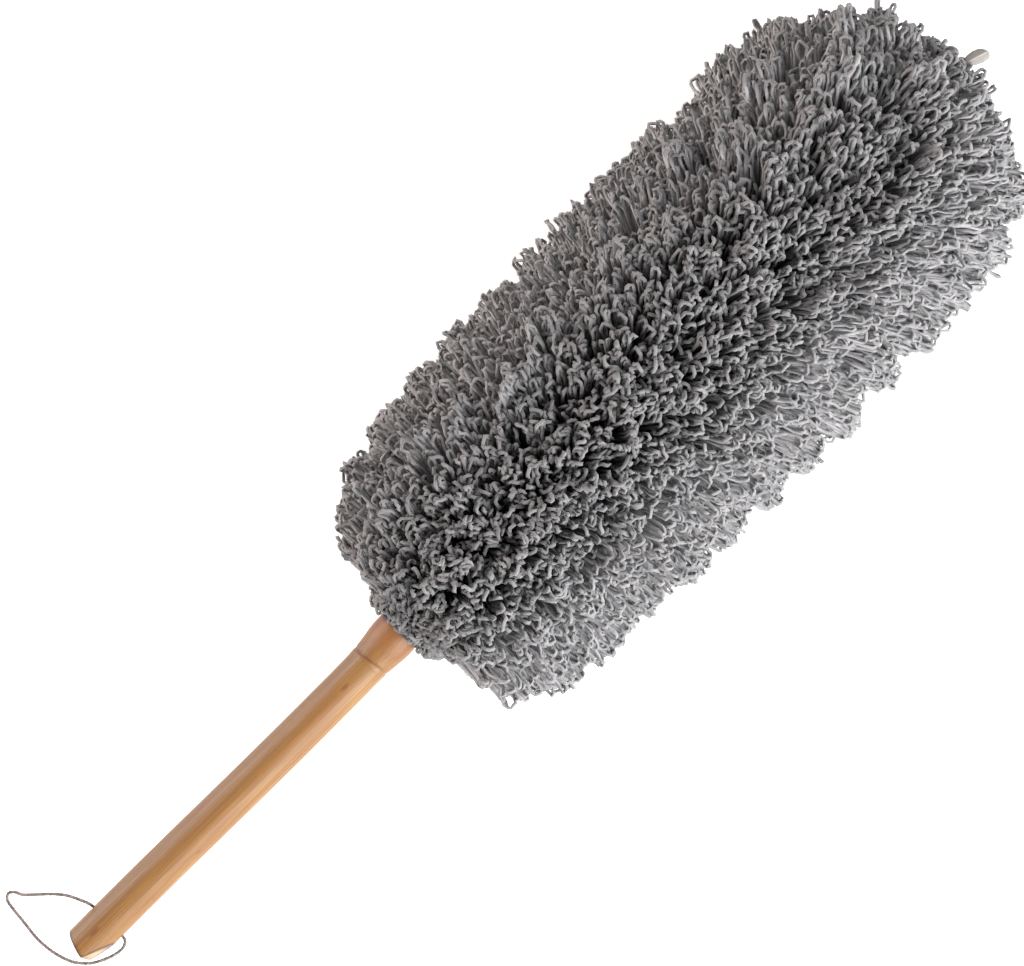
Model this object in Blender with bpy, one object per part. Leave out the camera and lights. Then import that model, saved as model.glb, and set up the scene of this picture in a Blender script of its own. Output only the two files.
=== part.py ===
"""Microfibre duster on a bamboo cane.

The cane carries a dowel, padded to one thickness, and a washable sleeve of pile slides over the padding.
A cord through the butt of the cane makes the hang loop. A folded tape stands out of the sleeve's closed end.

Metres, +Z up. The duster lies level on its pile on the floor z = 0, with +X from the butt to the tip.
The origin is under the middle of its length.
"""

import math
import random

import bmesh
import bpy
import numpy as np
from mathutils import Vector

# Driving dimensions: the whole
CANE_SHOWN = 0.2115
HEAD_LENGTH = 0.380
TAB_SHOWN = 0.0085
HEAD_RADIUS = 0.085
FLOOR_FLAT_DEPTH = 0.0005

# Driving dimensions: the cane
CANE_RADIUS = 0.0096
CANE_IN_HEAD = 0.025
NODE_FROM_BUTT = 0.1934
NODE_SWELL = 0.0017
NODE_SWELL_FROM_BUTT = 0.2065
NODE_SPREAD = 0.0095
NODE_GROOVE_DEPTH = 0.0004
NODE_GROOVE_WIDTH = 0.0011
BUTT_SET_BACK = 0.0009
BUTT_SKEW = 0.279
FACET_SKEW = 3.11
FACET_TURN_UP = 0.90
FACET_SET_BACK = 0.0172
HOLLOW_RADIUS = 0.0030
HOLLOW_FROM_BUTT = 0.011
HOLLOW_LENGTH = 0.155
HOLLOW_TAPER = 0.0015
CANE_RIM_CHAMFER = 0.0006

# Driving dimensions: the cord
CORD_DIAMETER = 0.0016
CORD_HOLE_FROM_BUTT = 0.0195
CORD_CLEARANCE = 0.0005
KNOT_CLEARANCE = 0.0007
CORD_POINT_COUNT = 46

# Driving dimensions: the core
DOWEL_RADIUS = 0.0050
SOCKET_DEPTH = 0.055
DOWEL_CHAMFER = 0.0006
PADDING_STANDS_PROUD = 0.0014
PADDING_EDGE = 0.0012
BUTTON_LENGTH = 0.008
BUTTON_SOCKET_DEPTH = 0.005
BUTTON_CHAMFER = 0.0004
BUTTON_DOME = 0.0036
PIN_RADIUS = 0.00125
PIN_CHAMFER = 0.00025
PIN_IN_HEAD = 0.012
SEAT_GAP = 0.0003

# Driving dimensions: the sleeve
SLEEVE_CLEARANCE = 0.0004
BACKING_THICKNESS = 0.0016
HEM_FROM_END = 0.0010
HEM_WIDTH = 0.0050
HEM_THICKNESS = 0.0020
CLOSURE_BELOW_TIP = 0.0130
CLOSURE_THICKNESS = 0.0020
CLOSURE_RIM = 0.0007
CORE_END_GAP = 0.0008

# Driving dimensions: the pile
PILE_ROWS = 16
TUFTS_ROUND = 24
TUFT_LEAST_PITCH = 0.0085
ROW_GAP = 0.0004
TUFT_SHOULDER_SHARE = 0.85
TUFT_SHOULDER_WIDTH_SHARE = 0.93
TUFT_END_WIDTH_SHARE = 0.66
PRESSED_END_WIDTH_SHARE = 0.80
PRESSED_WITHIN = math.radians(20)
TUFT_SHORTEST_SHARE = 0.94
TUFT_STRAY_SHARE = 0.16

# Driving dimensions: the tab
TAB_HALF_WIDTH = 0.0037
TAB_WAIST = 0.0020
TAB_ROOT = 0.0024
TAB_THICKNESS = 0.0014
TAB_ROOF = 0.0010
TAB_WAIST_ROOF = 0.0003
STITCH_BELOW_TIP = 0.0030
STITCH_THREAD_RADIUS = 0.0004

# The tab past its waist, as shares of the way out, of the full width and of the full roof
TAB_SHAPE = [
    (0.25, 0.85, 1.0),
    (0.74, 1.00, 1.0),
    (0.88, 0.88, 1.0),
    (0.97, 0.62, 0.8),
    (1.00, 0.36, 0.5),
]

# The pile's outside from its face towards the handle to its tip, as shares of the head's length and radius
PILE_OUTLINE_SHARES = [
    (0.026, 0.609),
    (0.038, 0.682),
    (0.062, 0.786),
    (0.100, 0.855),
    (0.150, 0.918),
    (0.220, 0.962),
    (0.316, 0.992),
    (0.420, 1.000),
    (0.580, 1.000),
    (0.740, 1.000),
    (0.800, 0.985),
    (0.863, 0.924),
    (0.913, 0.806),
    (0.947, 0.640),
    (0.974, 0.402),
    (0.989, 0.222),
    (0.993, 0.141),
]

# The hang loop's route from the middle of the cord hole: along the cane, across it and up, up to the far exit
CORD_ROUTE = [
    (0.0000, 0.0065, 0.0000),
    (0.0000, 0.0111, 0.0000),
    (-0.0021, 0.0164, -0.0006),
    (-0.0055, 0.0225, -0.0022),
    (-0.0106, 0.0280, -0.0046),
    (-0.0172, 0.0337, -0.0075),
    (-0.0213, 0.0374, -0.0094),
    (-0.0235, 0.0410, -0.0109),
    (-0.0262, 0.0427, -0.0118),
    (-0.0289, 0.0408, -0.0122),
    (-0.0299, 0.0362, -0.0121),
    (-0.0306, 0.0278, -0.0114),
    (-0.0311, 0.0185, -0.0090),
    (-0.0300, 0.0096, -0.0066),
    (-0.0275, 0.0020, -0.0040),
    (-0.0243, -0.0033, -0.0016),
    (-0.0191, -0.0083, 0.0003),
    (-0.0128, -0.0117, 0.0008),
    (-0.0077, -0.0134, 0.0005),
    (-0.0036, -0.0137, 0.0001),
    (-0.0008, -0.0122, 0.0000),
    (0.0000, -0.0098, 0.0000),
    (0.0000, -0.0065, 0.0000),
]

# Places that follow from them, along the duster
OVERALL_LENGTH = CANE_SHOWN + HEAD_LENGTH + TAB_SHOWN
BUTT_X = -OVERALL_LENGTH / 2
HEAD_X = BUTT_X + CANE_SHOWN
AXIS_HEIGHT = HEAD_RADIUS - FLOOR_FLAT_DEPTH
CANE_LENGTH = CANE_SHOWN + CANE_IN_HEAD
SOCKET_RADIUS = DOWEL_RADIUS + SEAT_GAP
PIN_HOLE_RADIUS = PIN_RADIUS + SEAT_GAP
CORE_RADIUS = CANE_RADIUS + PADDING_STANDS_PROUD
SLEEVE_BORE = CORE_RADIUS + SLEEVE_CLEARANCE
BACKING_RADIUS = SLEEVE_BORE + BACKING_THICKNESS
CLOSURE_FROM_END = HEAD_LENGTH - CLOSURE_BELOW_TIP - CLOSURE_THICKNESS
CORE_END = CANE_SHOWN + CLOSURE_FROM_END - CORE_END_GAP
BACKING_START = HEM_FROM_END + HEM_WIDTH + ROW_GAP
BACKING_END = CLOSURE_FROM_END - ROW_GAP
KNOT_RADIUS = HOLLOW_RADIUS - KNOT_CLEARANCE


# Helpers shared by the pieces
def clear_scene():
    for item in list(bpy.data.objects):
        bpy.data.objects.remove(item)


def frame_empty(name, x):
    """An empty on the duster's long axis, which the pieces of one body hang from."""
    empty = bpy.data.objects.new(name, None)
    empty.location = (x, 0, AXIS_HEIGHT)
    bpy.context.scene.collection.objects.link(empty)
    return empty


def finish_of(name, colour, roughness, metallic=0.0):
    material = bpy.data.materials.new(name)
    material.use_nodes = True
    shader = material.node_tree.nodes["Principled BSDF"]
    shader.inputs["Base Color"].default_value = (*colour, 1)
    shader.inputs["Roughness"].default_value = roughness
    shader.inputs["Metallic"].default_value = metallic
    return material


def place(name, data, parent, material=None):
    piece = bpy.data.objects.new(name, data)
    bpy.context.scene.collection.objects.link(piece)
    piece.parent = parent
    if material:
        data.materials.append(material)
    return piece


def mesh_from(name, bm, smooth_below_deg=35):
    mesh = bpy.data.meshes.new(name)
    bm.to_mesh(mesh)
    bm.free()
    mesh.shade_smooth()
    mesh.set_sharp_from_angle(angle=math.radians(smooth_below_deg))
    return mesh


def turned(name, profile, sides, closed=False):
    """A mesh turned about the long axis from (place along it, radius) points."""
    bm = bmesh.new()
    points = [bm.verts.new((x, 0, r)) for x, r in profile]
    edges = [bm.edges.new(pair) for pair in zip(points, points[1:])]
    if closed:
        edges.append(bm.edges.new((points[-1], points[0])))
    bmesh.ops.spin(
        bm,
        geom=points + edges,
        cent=(0, 0, 0),
        axis=(1, 0, 0),
        angle=math.tau,
        steps=sides,
        use_merge=True,
    )
    bmesh.ops.remove_doubles(bm, verts=bm.verts, dist=1e-6)
    bmesh.ops.recalc_face_normals(bm, faces=bm.faces)
    return mesh_from(name, bm)


def rod_mesh(name, radius, length, sides, bevel=0.0):
    """A plain round rod along Z, centred on the origin."""
    bm = bmesh.new()
    bmesh.ops.create_cone(
        bm, cap_ends=True, segments=sides, radius1=radius, radius2=radius, depth=length
    )
    if bevel:
        rims = [e for e in bm.edges if abs(e.verts[0].co.z - e.verts[1].co.z) < 1e-7]
        bmesh.ops.bevel(bm, geom=rims, offset=bevel, segments=1, affect="EDGES")
    return mesh_from(name, bm)


def cut(piece, cutter):
    """Cuts one piece with another object, which is then only a guide."""
    modifier = piece.modifiers.new("cut_" + cutter.name, "BOOLEAN")
    modifier.operation = "DIFFERENCE"
    modifier.object = cutter
    cutter.hide_render = True
    cutter.display_type = "WIRE"


def cross_cutter(name, x, radius, length, direction, parent):
    """A round cutter through the long axis, along direction."""
    cutter = place(name, rod_mesh(name, radius, length, 20), parent)
    cutter.location = (x, 0, 0)
    cutter.rotation_mode = "QUATERNION"
    cutter.rotation_quaternion = Vector(direction).to_track_quat("Z", "Y")
    return cutter


def half_space_cutter(name, point, outward, size, parent):
    """A block whose near face lies on the plane through point, on the side that outward points to."""
    bm = bmesh.new()
    bmesh.ops.create_cube(bm, size=size)
    block = place(name, mesh_from(name, bm), parent)
    normal = Vector(outward).normalized()
    block.location = Vector(point) + normal * (size / 2)
    block.rotation_mode = "QUATERNION"
    block.rotation_quaternion = normal.to_track_quat("Z", "Y")
    return block


# The bamboo cane, from the butt
def cane_radius(x):
    swell = NODE_SWELL * math.exp(-(((x - NODE_SWELL_FROM_BUTT) / NODE_SPREAD) ** 2))
    groove = NODE_GROOVE_DEPTH * math.exp(-(((x - NODE_FROM_BUTT) / NODE_GROOVE_WIDTH) ** 2))
    return CANE_RADIUS + swell - groove


def cane_stations():
    """Places along the cane: wide steps on the plain run, and fine ones over the node's groove."""
    blank_start = BUTT_SET_BACK - 1.2 * BUTT_SKEW * CANE_RADIUS
    groove_half = 2 * NODE_GROOVE_WIDTH
    plain_end = NODE_SWELL_FROM_BUTT - 2.2 * NODE_SPREAD
    swell = np.linspace(plain_end, NODE_FROM_BUTT - groove_half, 6)
    groove = np.linspace(NODE_FROM_BUTT - groove_half, NODE_FROM_BUTT + groove_half, 7)
    beyond = np.linspace(NODE_FROM_BUTT + groove_half, CANE_LENGTH - CANE_RIM_CHAMFER, 8)
    plain = np.linspace(blank_start, plain_end, 5)
    return [float(x) for x in np.unique(np.concatenate([plain, swell, groove, beyond]))]


def bamboo_cane(parent, material):
    stations = cane_stations()
    socket_floor = CANE_LENGTH - SOCKET_DEPTH
    profile = [(socket_floor, 0.0), (socket_floor, SOCKET_RADIUS)]
    profile += [(CANE_LENGTH, SOCKET_RADIUS)]
    profile += [(CANE_LENGTH, cane_radius(CANE_LENGTH) - CANE_RIM_CHAMFER)]
    profile += [(x, cane_radius(x)) for x in reversed(stations)]
    profile += [(stations[0], 0.0)]
    cane = place("bamboo_cane", turned("bamboo_cane", profile, 40), parent, material)

    butt = half_space_cutter(
        "butt_cutter", (BUTT_SET_BACK, 0, 0), (-1, BUTT_SKEW, 0), 8 * CANE_RADIUS, parent
    )
    cut(cane, butt)
    facet = half_space_cutter(
        "facet_cutter",
        (-FACET_SET_BACK, 0, 0),
        (-1, -FACET_SKEW, FACET_TURN_UP),
        8 * CANE_RADIUS,
        parent,
    )
    cut(cane, facet)

    hollow_profile = [
        (HOLLOW_FROM_BUTT, 0.0),
        (HOLLOW_FROM_BUTT + HOLLOW_TAPER, HOLLOW_RADIUS),
        (HOLLOW_FROM_BUTT + HOLLOW_LENGTH - HOLLOW_TAPER, HOLLOW_RADIUS),
        (HOLLOW_FROM_BUTT + HOLLOW_LENGTH, 0.0),
    ]
    cut(cane, place("hollow_cutter", turned("hollow_cutter", hollow_profile, 24), parent))
    cord_hole = CORD_DIAMETER / 2 + CORD_CLEARANCE
    cut(
        cane,
        cross_cutter(
            "cord_hole_cutter", CORD_HOLE_FROM_BUTT, cord_hole, 4 * CANE_RADIUS, (0, 1, 0), parent
        ),
    )
    cut(
        cane,
        cross_cutter(
            "cane_pin_cutter",
            CANE_SHOWN + PIN_IN_HEAD,
            PIN_HOLE_RADIUS,
            4 * CANE_RADIUS,
            (0, 0, 1),
            parent,
        ),
    )
    return cane


# The core: dowel, cross pin, padding and end button
def core_dowel(parent, material):
    start = CANE_LENGTH - SOCKET_DEPTH + SEAT_GAP
    end = CORE_END - BUTTON_LENGTH + BUTTON_SOCKET_DEPTH - SEAT_GAP
    profile = [
        (start, 0.0),
        (start, DOWEL_RADIUS - DOWEL_CHAMFER),
        (start + DOWEL_CHAMFER, DOWEL_RADIUS),
        (end - DOWEL_CHAMFER, DOWEL_RADIUS),
        (end, DOWEL_RADIUS - DOWEL_CHAMFER),
        (end, 0.0),
    ]
    dowel = place("core_dowel", turned("core_dowel", profile, 28), parent, material)
    cut(
        dowel,
        cross_cutter(
            "dowel_pin_cutter",
            CANE_SHOWN + PIN_IN_HEAD,
            PIN_HOLE_RADIUS,
            4 * DOWEL_RADIUS,
            (0, 0, 1),
            parent,
        ),
    )


def cross_pin(parent, material):
    length = 2 * (CANE_RADIUS - SEAT_GAP)
    mesh = rod_mesh("cross_pin", PIN_RADIUS, length, 16, PIN_CHAMFER)
    pin = place("cross_pin", mesh, parent, material)
    pin.location = (CANE_SHOWN + PIN_IN_HEAD, 0, 0)


def core_padding(parent, material):
    start = CANE_LENGTH + SEAT_GAP
    end = CORE_END - BUTTON_LENGTH - SEAT_GAP
    profile = [
        (start, SOCKET_RADIUS),
        (start, CORE_RADIUS - PADDING_EDGE),
        (start + PADDING_EDGE, CORE_RADIUS),
        (end - PADDING_EDGE, CORE_RADIUS),
        (end, CORE_RADIUS - PADDING_EDGE),
        (end, SOCKET_RADIUS),
    ]
    place("core_padding", turned("core_padding", profile, 36, closed=True), parent, material)


def end_button(parent, material):
    start = CORE_END - BUTTON_LENGTH
    dome_steps = 5
    roundness = 0.6
    profile = [
        (start + BUTTON_SOCKET_DEPTH, 0.0),
        (start + BUTTON_SOCKET_DEPTH, SOCKET_RADIUS),
        (start, SOCKET_RADIUS),
        (start, CORE_RADIUS - BUTTON_CHAMFER),
        (start + BUTTON_CHAMFER, CORE_RADIUS),
    ]
    for step in range(dome_steps + 1):
        turn = math.pi / 2 * step / dome_steps
        x = CORE_END - BUTTON_DOME + BUTTON_DOME * math.sin(turn)
        profile.append((x, CORE_RADIUS * math.cos(turn) ** roundness if step < dome_steps else 0.0))
    place("end_button", turned("end_button", profile, 36), parent, material)


# The hang cord and its knot
def smooth_route(route, count):
    """Evenly spaced points on a Catmull-Rom curve through the route's own points."""
    points = np.array(route)
    ends = np.vstack([2 * points[0] - points[1], points, 2 * points[-1] - points[-2]])
    fine = []
    for before, start, end, after in zip(ends, ends[1:], ends[2:], ends[3:]):
        for share in np.linspace(0, 1, 24, endpoint=False):
            fine.append(
                0.5
                * (
                    2 * start
                    + (end - before) * share
                    + (2 * before - 5 * start + 4 * end - after) * share**2
                    + (3 * start - before - 3 * end + after) * share**3
                )
            )
    fine = np.array(fine + [points[-1]])
    along = np.concatenate([[0], np.cumsum(np.linalg.norm(np.diff(fine, axis=0), axis=1))])
    wanted = np.linspace(0, along[-1], count)
    return np.stack([np.interp(wanted, along, fine[:, axis]) for axis in range(3)], axis=1)


def hang_cord(parent, material):
    inner_end = KNOT_RADIUS + SEAT_GAP
    route = [(0.0, inner_end, 0.0), *CORD_ROUTE, (0.0, -inner_end, 0.0)]
    points = smooth_route(route, CORD_POINT_COUNT)
    curve = bpy.data.curves.new("hang_cord", "CURVE")
    curve.dimensions = "3D"
    curve.bevel_depth = CORD_DIAMETER / 2
    curve.bevel_resolution = 2
    curve.use_fill_caps = True
    spline = curve.splines.new("POLY")
    spline.points.add(len(points) - 1)
    for spot, (x, y, z) in zip(spline.points, points):
        spot.co = (x, y, z, 1)
    cord = place("hang_cord", curve, parent, material)
    cord.location = (CORD_HOLE_FROM_BUTT, 0, 0)


def cord_knot(parent, material):
    bm = bmesh.new()
    bmesh.ops.create_icosphere(bm, subdivisions=2, radius=KNOT_RADIUS)
    knot = place("cord_knot", mesh_from("cord_knot", bm, 60), parent, material)
    knot.location = (CORD_HOLE_FROM_BUTT, 0, 0)


# The outer surface of the pile, in the plane of the long axis
def head_outline():
    """(place along the head, radius) from the edge of the face towards the handle to the tip."""
    route = [(x * HEAD_LENGTH, r * HEAD_RADIUS, 0.0) for x, r in PILE_OUTLINE_SHARES]
    line = smooth_route(route, 200)[:, :2]
    line[:, 1] = np.minimum(line[:, 1], HEAD_RADIUS)
    return line


# The corners of a tuft's sections, along the row and round it
SQUARE = ((-1, -1), (-1, 1), (1, 1), (1, -1))
DIAMOND = ((-1, 0), (0, 1), (1, 0), (0, -1))

OUTLINE = head_outline()
OUTLINE_STEPS = np.linalg.norm(np.diff(OUTLINE, axis=0), axis=1)
OUTLINE_AT = np.concatenate([[0], np.cumsum(OUTLINE_STEPS)])


def tuft_point(row_place, share):
    """(along, radius) at a place counted in rows, and at a share of the way out of the backing."""
    outline_at = row_place / PILE_ROWS * OUTLINE_AT[-1]
    outer = [np.interp(outline_at, OUTLINE_AT, OUTLINE[:, axis]) for axis in (0, 1)]
    row = min(int(row_place + 1e-9), PILE_ROWS - 1)
    within = row_place - row
    pitch = (BACKING_END - BACKING_START) / PILE_ROWS
    inner_x = BACKING_START + row * pitch + within * (pitch - ROW_GAP)
    return (
        inner_x + (outer[0] - inner_x) * share,
        BACKING_RADIUS + (outer[1] - BACKING_RADIUS) * share,
    )


def tufts_in(row):
    """Rows alternate by one tuft, so that they lie in step under the duster and out of step on top."""
    count = TUFTS_ROUND - row % 2
    middle_radius = tuft_point(row + 0.5, 1)[1]
    return min(count, int(math.tau * middle_radius / TUFT_LEAST_PITCH))


def pile_spot(bm, x, radius, angle):
    """A vertex round the long axis. The floor stops the lowest ones, which makes the flat."""
    z = max(radius * math.sin(angle), -AXIS_HEIGHT)
    return bm.verts.new((x, radius * math.cos(angle), z))


def tuft_ring(bm, tuft, share, width, corners, stray=(0.0, 0.0)):
    """Four vertices round a tuft, at a share of its length."""
    row, middle, half = tuft
    ring = []
    for along, turn in corners:
        row_place = row + 0.5 + 0.5 * (along * width + stray[0])
        x, radius = tuft_point(row_place, share)
        ring.append(pile_spot(bm, x, radius, middle + half * (turn * width + stray[1])))
    return ring


def join_rings(bm, ring, following):
    for i in range(4):
        j = (i + 1) % 4
        bm.faces.new((ring[i], ring[j], following[j], following[i]))


def pressed_tuft(bm, tuft, ring):
    """A tuft that the floor presses: full length, with a broad square end."""
    shoulder = tuft_ring(bm, tuft, TUFT_SHOULDER_SHARE, TUFT_SHOULDER_WIDTH_SHARE, SQUARE)
    end = tuft_ring(bm, tuft, 1.0, PRESSED_END_WIDTH_SHARE, SQUARE)
    join_rings(bm, ring, shoulder)
    join_rings(bm, shoulder, end)
    bm.faces.new(end)


def free_tuft(bm, tuft, ring, rng):
    """A tuft with a domed end: its last section is turned by an eighth against the one below."""
    length = rng.uniform(TUFT_SHORTEST_SHARE, 1.0)
    stray = [rng.uniform(-TUFT_STRAY_SHARE, TUFT_STRAY_SHARE) for _ in range(2)]
    shoulder = tuft_ring(bm, tuft, TUFT_SHOULDER_SHARE * length, TUFT_SHOULDER_WIDTH_SHARE, SQUARE)
    end = tuft_ring(bm, tuft, length, TUFT_END_WIDTH_SHARE, DIAMOND, stray)
    join_rings(bm, ring, shoulder)
    for i in range(4):
        j = (i + 1) % 4
        bm.faces.new((shoulder[i], shoulder[j], end[i]))
        bm.faces.new((shoulder[j], end[j], end[i]))
    bm.faces.new(end)


def pile_row(row, parent, material):
    """One slice of the backing with its ring of tufts, each drawn out of the slice's outer wall."""
    count = tufts_in(row)
    half = math.pi / count
    flat_factor = 1 / math.cos(half)
    down = -math.pi / 2
    rng = random.Random(400 + row)
    start = tuft_point(row, 0)[0]
    slice_width = (BACKING_END - BACKING_START) / PILE_ROWS - ROW_GAP
    bm = bmesh.new()
    walls = []
    for radius in (BACKING_RADIUS * flat_factor, SLEEVE_BORE * flat_factor):
        for x in (start, start + slice_width):
            corners = [down + half * (2 * k - 1) for k in range(count)]
            walls.append([pile_spot(bm, x, radius, angle) for angle in corners])
    outer_start, outer_end, inner_start, inner_end = walls
    for k in range(count):
        n = (k + 1) % count
        bm.faces.new((inner_start[k], inner_end[k], inner_end[n], inner_start[n]))
        bm.faces.new((outer_start[k], outer_start[n], inner_start[n], inner_start[k]))
        bm.faces.new((outer_end[k], outer_end[n], inner_end[n], inner_end[k]))
        ring = [outer_start[k], outer_start[n], outer_end[n], outer_end[k]]
        tuft = (row, down + 2 * half * k, half)
        if min(k, count - k) * 2 * half < PRESSED_WITHIN:
            pressed_tuft(bm, tuft, ring)
        else:
            free_tuft(bm, tuft, ring, rng)
    bmesh.ops.recalc_face_normals(bm, faces=bm.faces)
    name = f"pile_row_{row + 1:02d}"
    place(name, mesh_from(name, bm, 50), parent, material)
    return count


# The sleeve's hem, closed end and tab
def hem_band(parent, material):
    """An elastic band sewn round the sleeve's open end, with a rounded section."""
    middle_x = HEM_FROM_END + HEM_WIDTH / 2
    middle_r = SLEEVE_BORE + HEM_THICKNESS / 2
    section = []
    steps = 12
    squareness_along = 0.5
    squareness_out = 0.7
    for step in range(steps):
        turn = math.tau * step / steps
        along = math.copysign(abs(math.cos(turn)) ** squareness_along, math.cos(turn))
        out = math.copysign(abs(math.sin(turn)) ** squareness_out, math.sin(turn))
        section.append((middle_x + along * HEM_WIDTH / 2, middle_r + out * HEM_THICKNESS / 2))
    place("hem_band", turned("hem_band", section, 40, closed=True), parent, material)


def sleeve_closure(parent, material):
    """The gathered disc that shuts the sleeve past the end of the core."""
    end = CLOSURE_FROM_END + CLOSURE_THICKNESS
    disc_radius = SLEEVE_BORE - SEAT_GAP
    profile = [
        (CLOSURE_FROM_END, 0.0),
        (CLOSURE_FROM_END, disc_radius - CLOSURE_RIM),
        (CLOSURE_FROM_END + CLOSURE_RIM, disc_radius),
        (end - CLOSURE_RIM, disc_radius),
        (end, disc_radius - CLOSURE_RIM),
        (end, 0.0),
    ]
    place("sleeve_closure", turned("sleeve_closure", profile, 32), parent, material)


def tab_section(half_width, roof):
    """The tape's section across: a low roof, with its ridge along the tab."""
    return [
        (0.0, roof),
        (half_width, -roof),
        (half_width, -roof - TAB_THICKNESS),
        (0.0, roof - TAB_THICKNESS),
        (-half_width, -roof - TAB_THICKNESS),
        (-half_width, -roof),
    ]


def tip_tab(parent, material):
    """A folded tape, gathered to a waist where it is sewn, and rounded at its free end."""
    root = CLOSURE_FROM_END + CLOSURE_THICKNESS + SEAT_GAP
    waist = HEAD_LENGTH - STITCH_BELOW_TIP
    free_end = HEAD_LENGTH + TAB_SHOWN
    sections = [(root, TAB_ROOT, TAB_WAIST_ROOF), (waist, TAB_WAIST, TAB_WAIST_ROOF)]
    for along, width, roof in TAB_SHAPE:
        x = waist + along * (free_end - waist)
        sections.append((x, width * TAB_HALF_WIDTH, roof * TAB_ROOF))
    bm = bmesh.new()
    rings = []
    for x, half_width, roof in sections:
        rings.append([bm.verts.new((x, y, z)) for y, z in tab_section(half_width, roof)])
    for ring, following in zip(rings, rings[1:]):
        for i in range(len(ring)):
            j = (i + 1) % len(ring)
            bm.faces.new((ring[i], ring[j], following[j], following[i]))
    bm.faces.new(rings[0])
    bm.faces.new(rings[-1])
    bmesh.ops.triangulate(bm, faces=[f for f in bm.faces if len(f.verts) > 4])
    bmesh.ops.recalc_face_normals(bm, faces=bm.faces)
    place("tip_tab", mesh_from("tip_tab", bm), parent, material)


def tab_stitching(parent, material):
    """The thread wound round the tab's waist, as an oval through the corners of the tape's section."""
    reach = SEAT_GAP + STITCH_THREAD_RADIUS
    half_across = math.sqrt(2) * TAB_WAIST + reach
    half_up = math.sqrt(2) * (TAB_WAIST_ROOF + TAB_THICKNESS / 2) + reach
    count = 24
    curve = bpy.data.curves.new("tab_stitching", "CURVE")
    curve.dimensions = "3D"
    curve.bevel_depth = STITCH_THREAD_RADIUS
    curve.bevel_resolution = 1
    spline = curve.splines.new("POLY")
    spline.points.add(count - 1)
    spline.use_cyclic_u = True
    for k, point in enumerate(spline.points):
        turn = math.tau * k / count
        y = half_across * math.cos(turn)
        z = half_up * math.sin(turn) - TAB_THICKNESS / 2
        point.co = (HEAD_LENGTH - STITCH_BELOW_TIP, y, z, 1)
    place("tab_stitching", curve, parent, material)


# Assembly
clear_scene()
handle_frame = frame_empty("handle_frame", BUTT_X)
sleeve_frame = frame_empty("sleeve_frame", HEAD_X)

bamboo = finish_of("bamboo", (0.50, 0.28, 0.11), 0.45)
pale_wood = finish_of("pale_wood", (0.62, 0.46, 0.28), 0.6)
steel = finish_of("steel", (0.6, 0.6, 0.6), 0.35, 1.0)
foam = finish_of("foam", (0.55, 0.55, 0.53), 0.95)
elastic = finish_of("elastic", (0.16, 0.16, 0.17), 0.85)
pile = finish_of("pile", (0.13, 0.13, 0.135), 0.95)
backing = finish_of("backing", (0.10, 0.10, 0.105), 0.9)
tape = finish_of("tape", (0.50, 0.49, 0.45), 0.8)
thread = finish_of("thread", (0.07, 0.06, 0.06), 0.85)
twine = finish_of("twine", (0.23, 0.19, 0.17), 0.75)

bamboo_cane(handle_frame, bamboo)
core_dowel(handle_frame, pale_wood)
cross_pin(handle_frame, steel)
core_padding(handle_frame, foam)
end_button(handle_frame, pale_wood)
hang_cord(handle_frame, twine)
cord_knot(handle_frame, twine)

hem_band(sleeve_frame, elastic)
tuft_total = sum(pile_row(row, sleeve_frame, pile) for row in range(PILE_ROWS))
sleeve_closure(sleeve_frame, backing)
tip_tab(sleeve_frame, tape)
tab_stitching(sleeve_frame, thread)
print("tufts of pile:", tuft_total)
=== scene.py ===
import math

import bmesh
import bpy
import numpy as np
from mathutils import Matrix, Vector


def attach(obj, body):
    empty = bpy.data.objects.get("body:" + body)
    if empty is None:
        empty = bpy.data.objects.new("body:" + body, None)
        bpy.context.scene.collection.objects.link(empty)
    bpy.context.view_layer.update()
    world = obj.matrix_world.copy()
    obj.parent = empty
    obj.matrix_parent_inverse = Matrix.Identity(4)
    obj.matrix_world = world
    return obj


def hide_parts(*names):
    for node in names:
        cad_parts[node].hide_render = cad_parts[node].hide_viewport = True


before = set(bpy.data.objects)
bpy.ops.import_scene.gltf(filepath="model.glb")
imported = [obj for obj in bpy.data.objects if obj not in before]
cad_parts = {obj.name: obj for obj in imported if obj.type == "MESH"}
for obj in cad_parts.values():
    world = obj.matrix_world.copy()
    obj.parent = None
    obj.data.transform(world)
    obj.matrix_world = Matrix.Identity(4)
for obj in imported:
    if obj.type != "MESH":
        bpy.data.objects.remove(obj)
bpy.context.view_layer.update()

# Bamboo cane
# A honey-coloured bamboo cane, 19 mm thick, with a node ring below the head and a socket for the core's rod.
# Its butt is sawn a little askew, with a pale oblique cut beside it and a cross hole for the cord.
BUTT_X = -0.300
AXIS_HEIGHT = 0.0845
CANE_RADIUS = 0.0096
CANE_LENGTH = 0.2365
CORD_HOLE_AT = 0.0195
CORD_HOLE_RADIUS = 0.0013
PIN_AT = 0.2235
NODE_AT = 0.1934
NODE_TILT = 0.063
SWELL_FROM = 0.2080
SWELL_TO = 0.2100
SWELL = 0.0017
RING_GROOVE = 0.0003
SOCKET_RADIUS = 0.0053
SOCKET_DEPTH = 0.055


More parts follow.
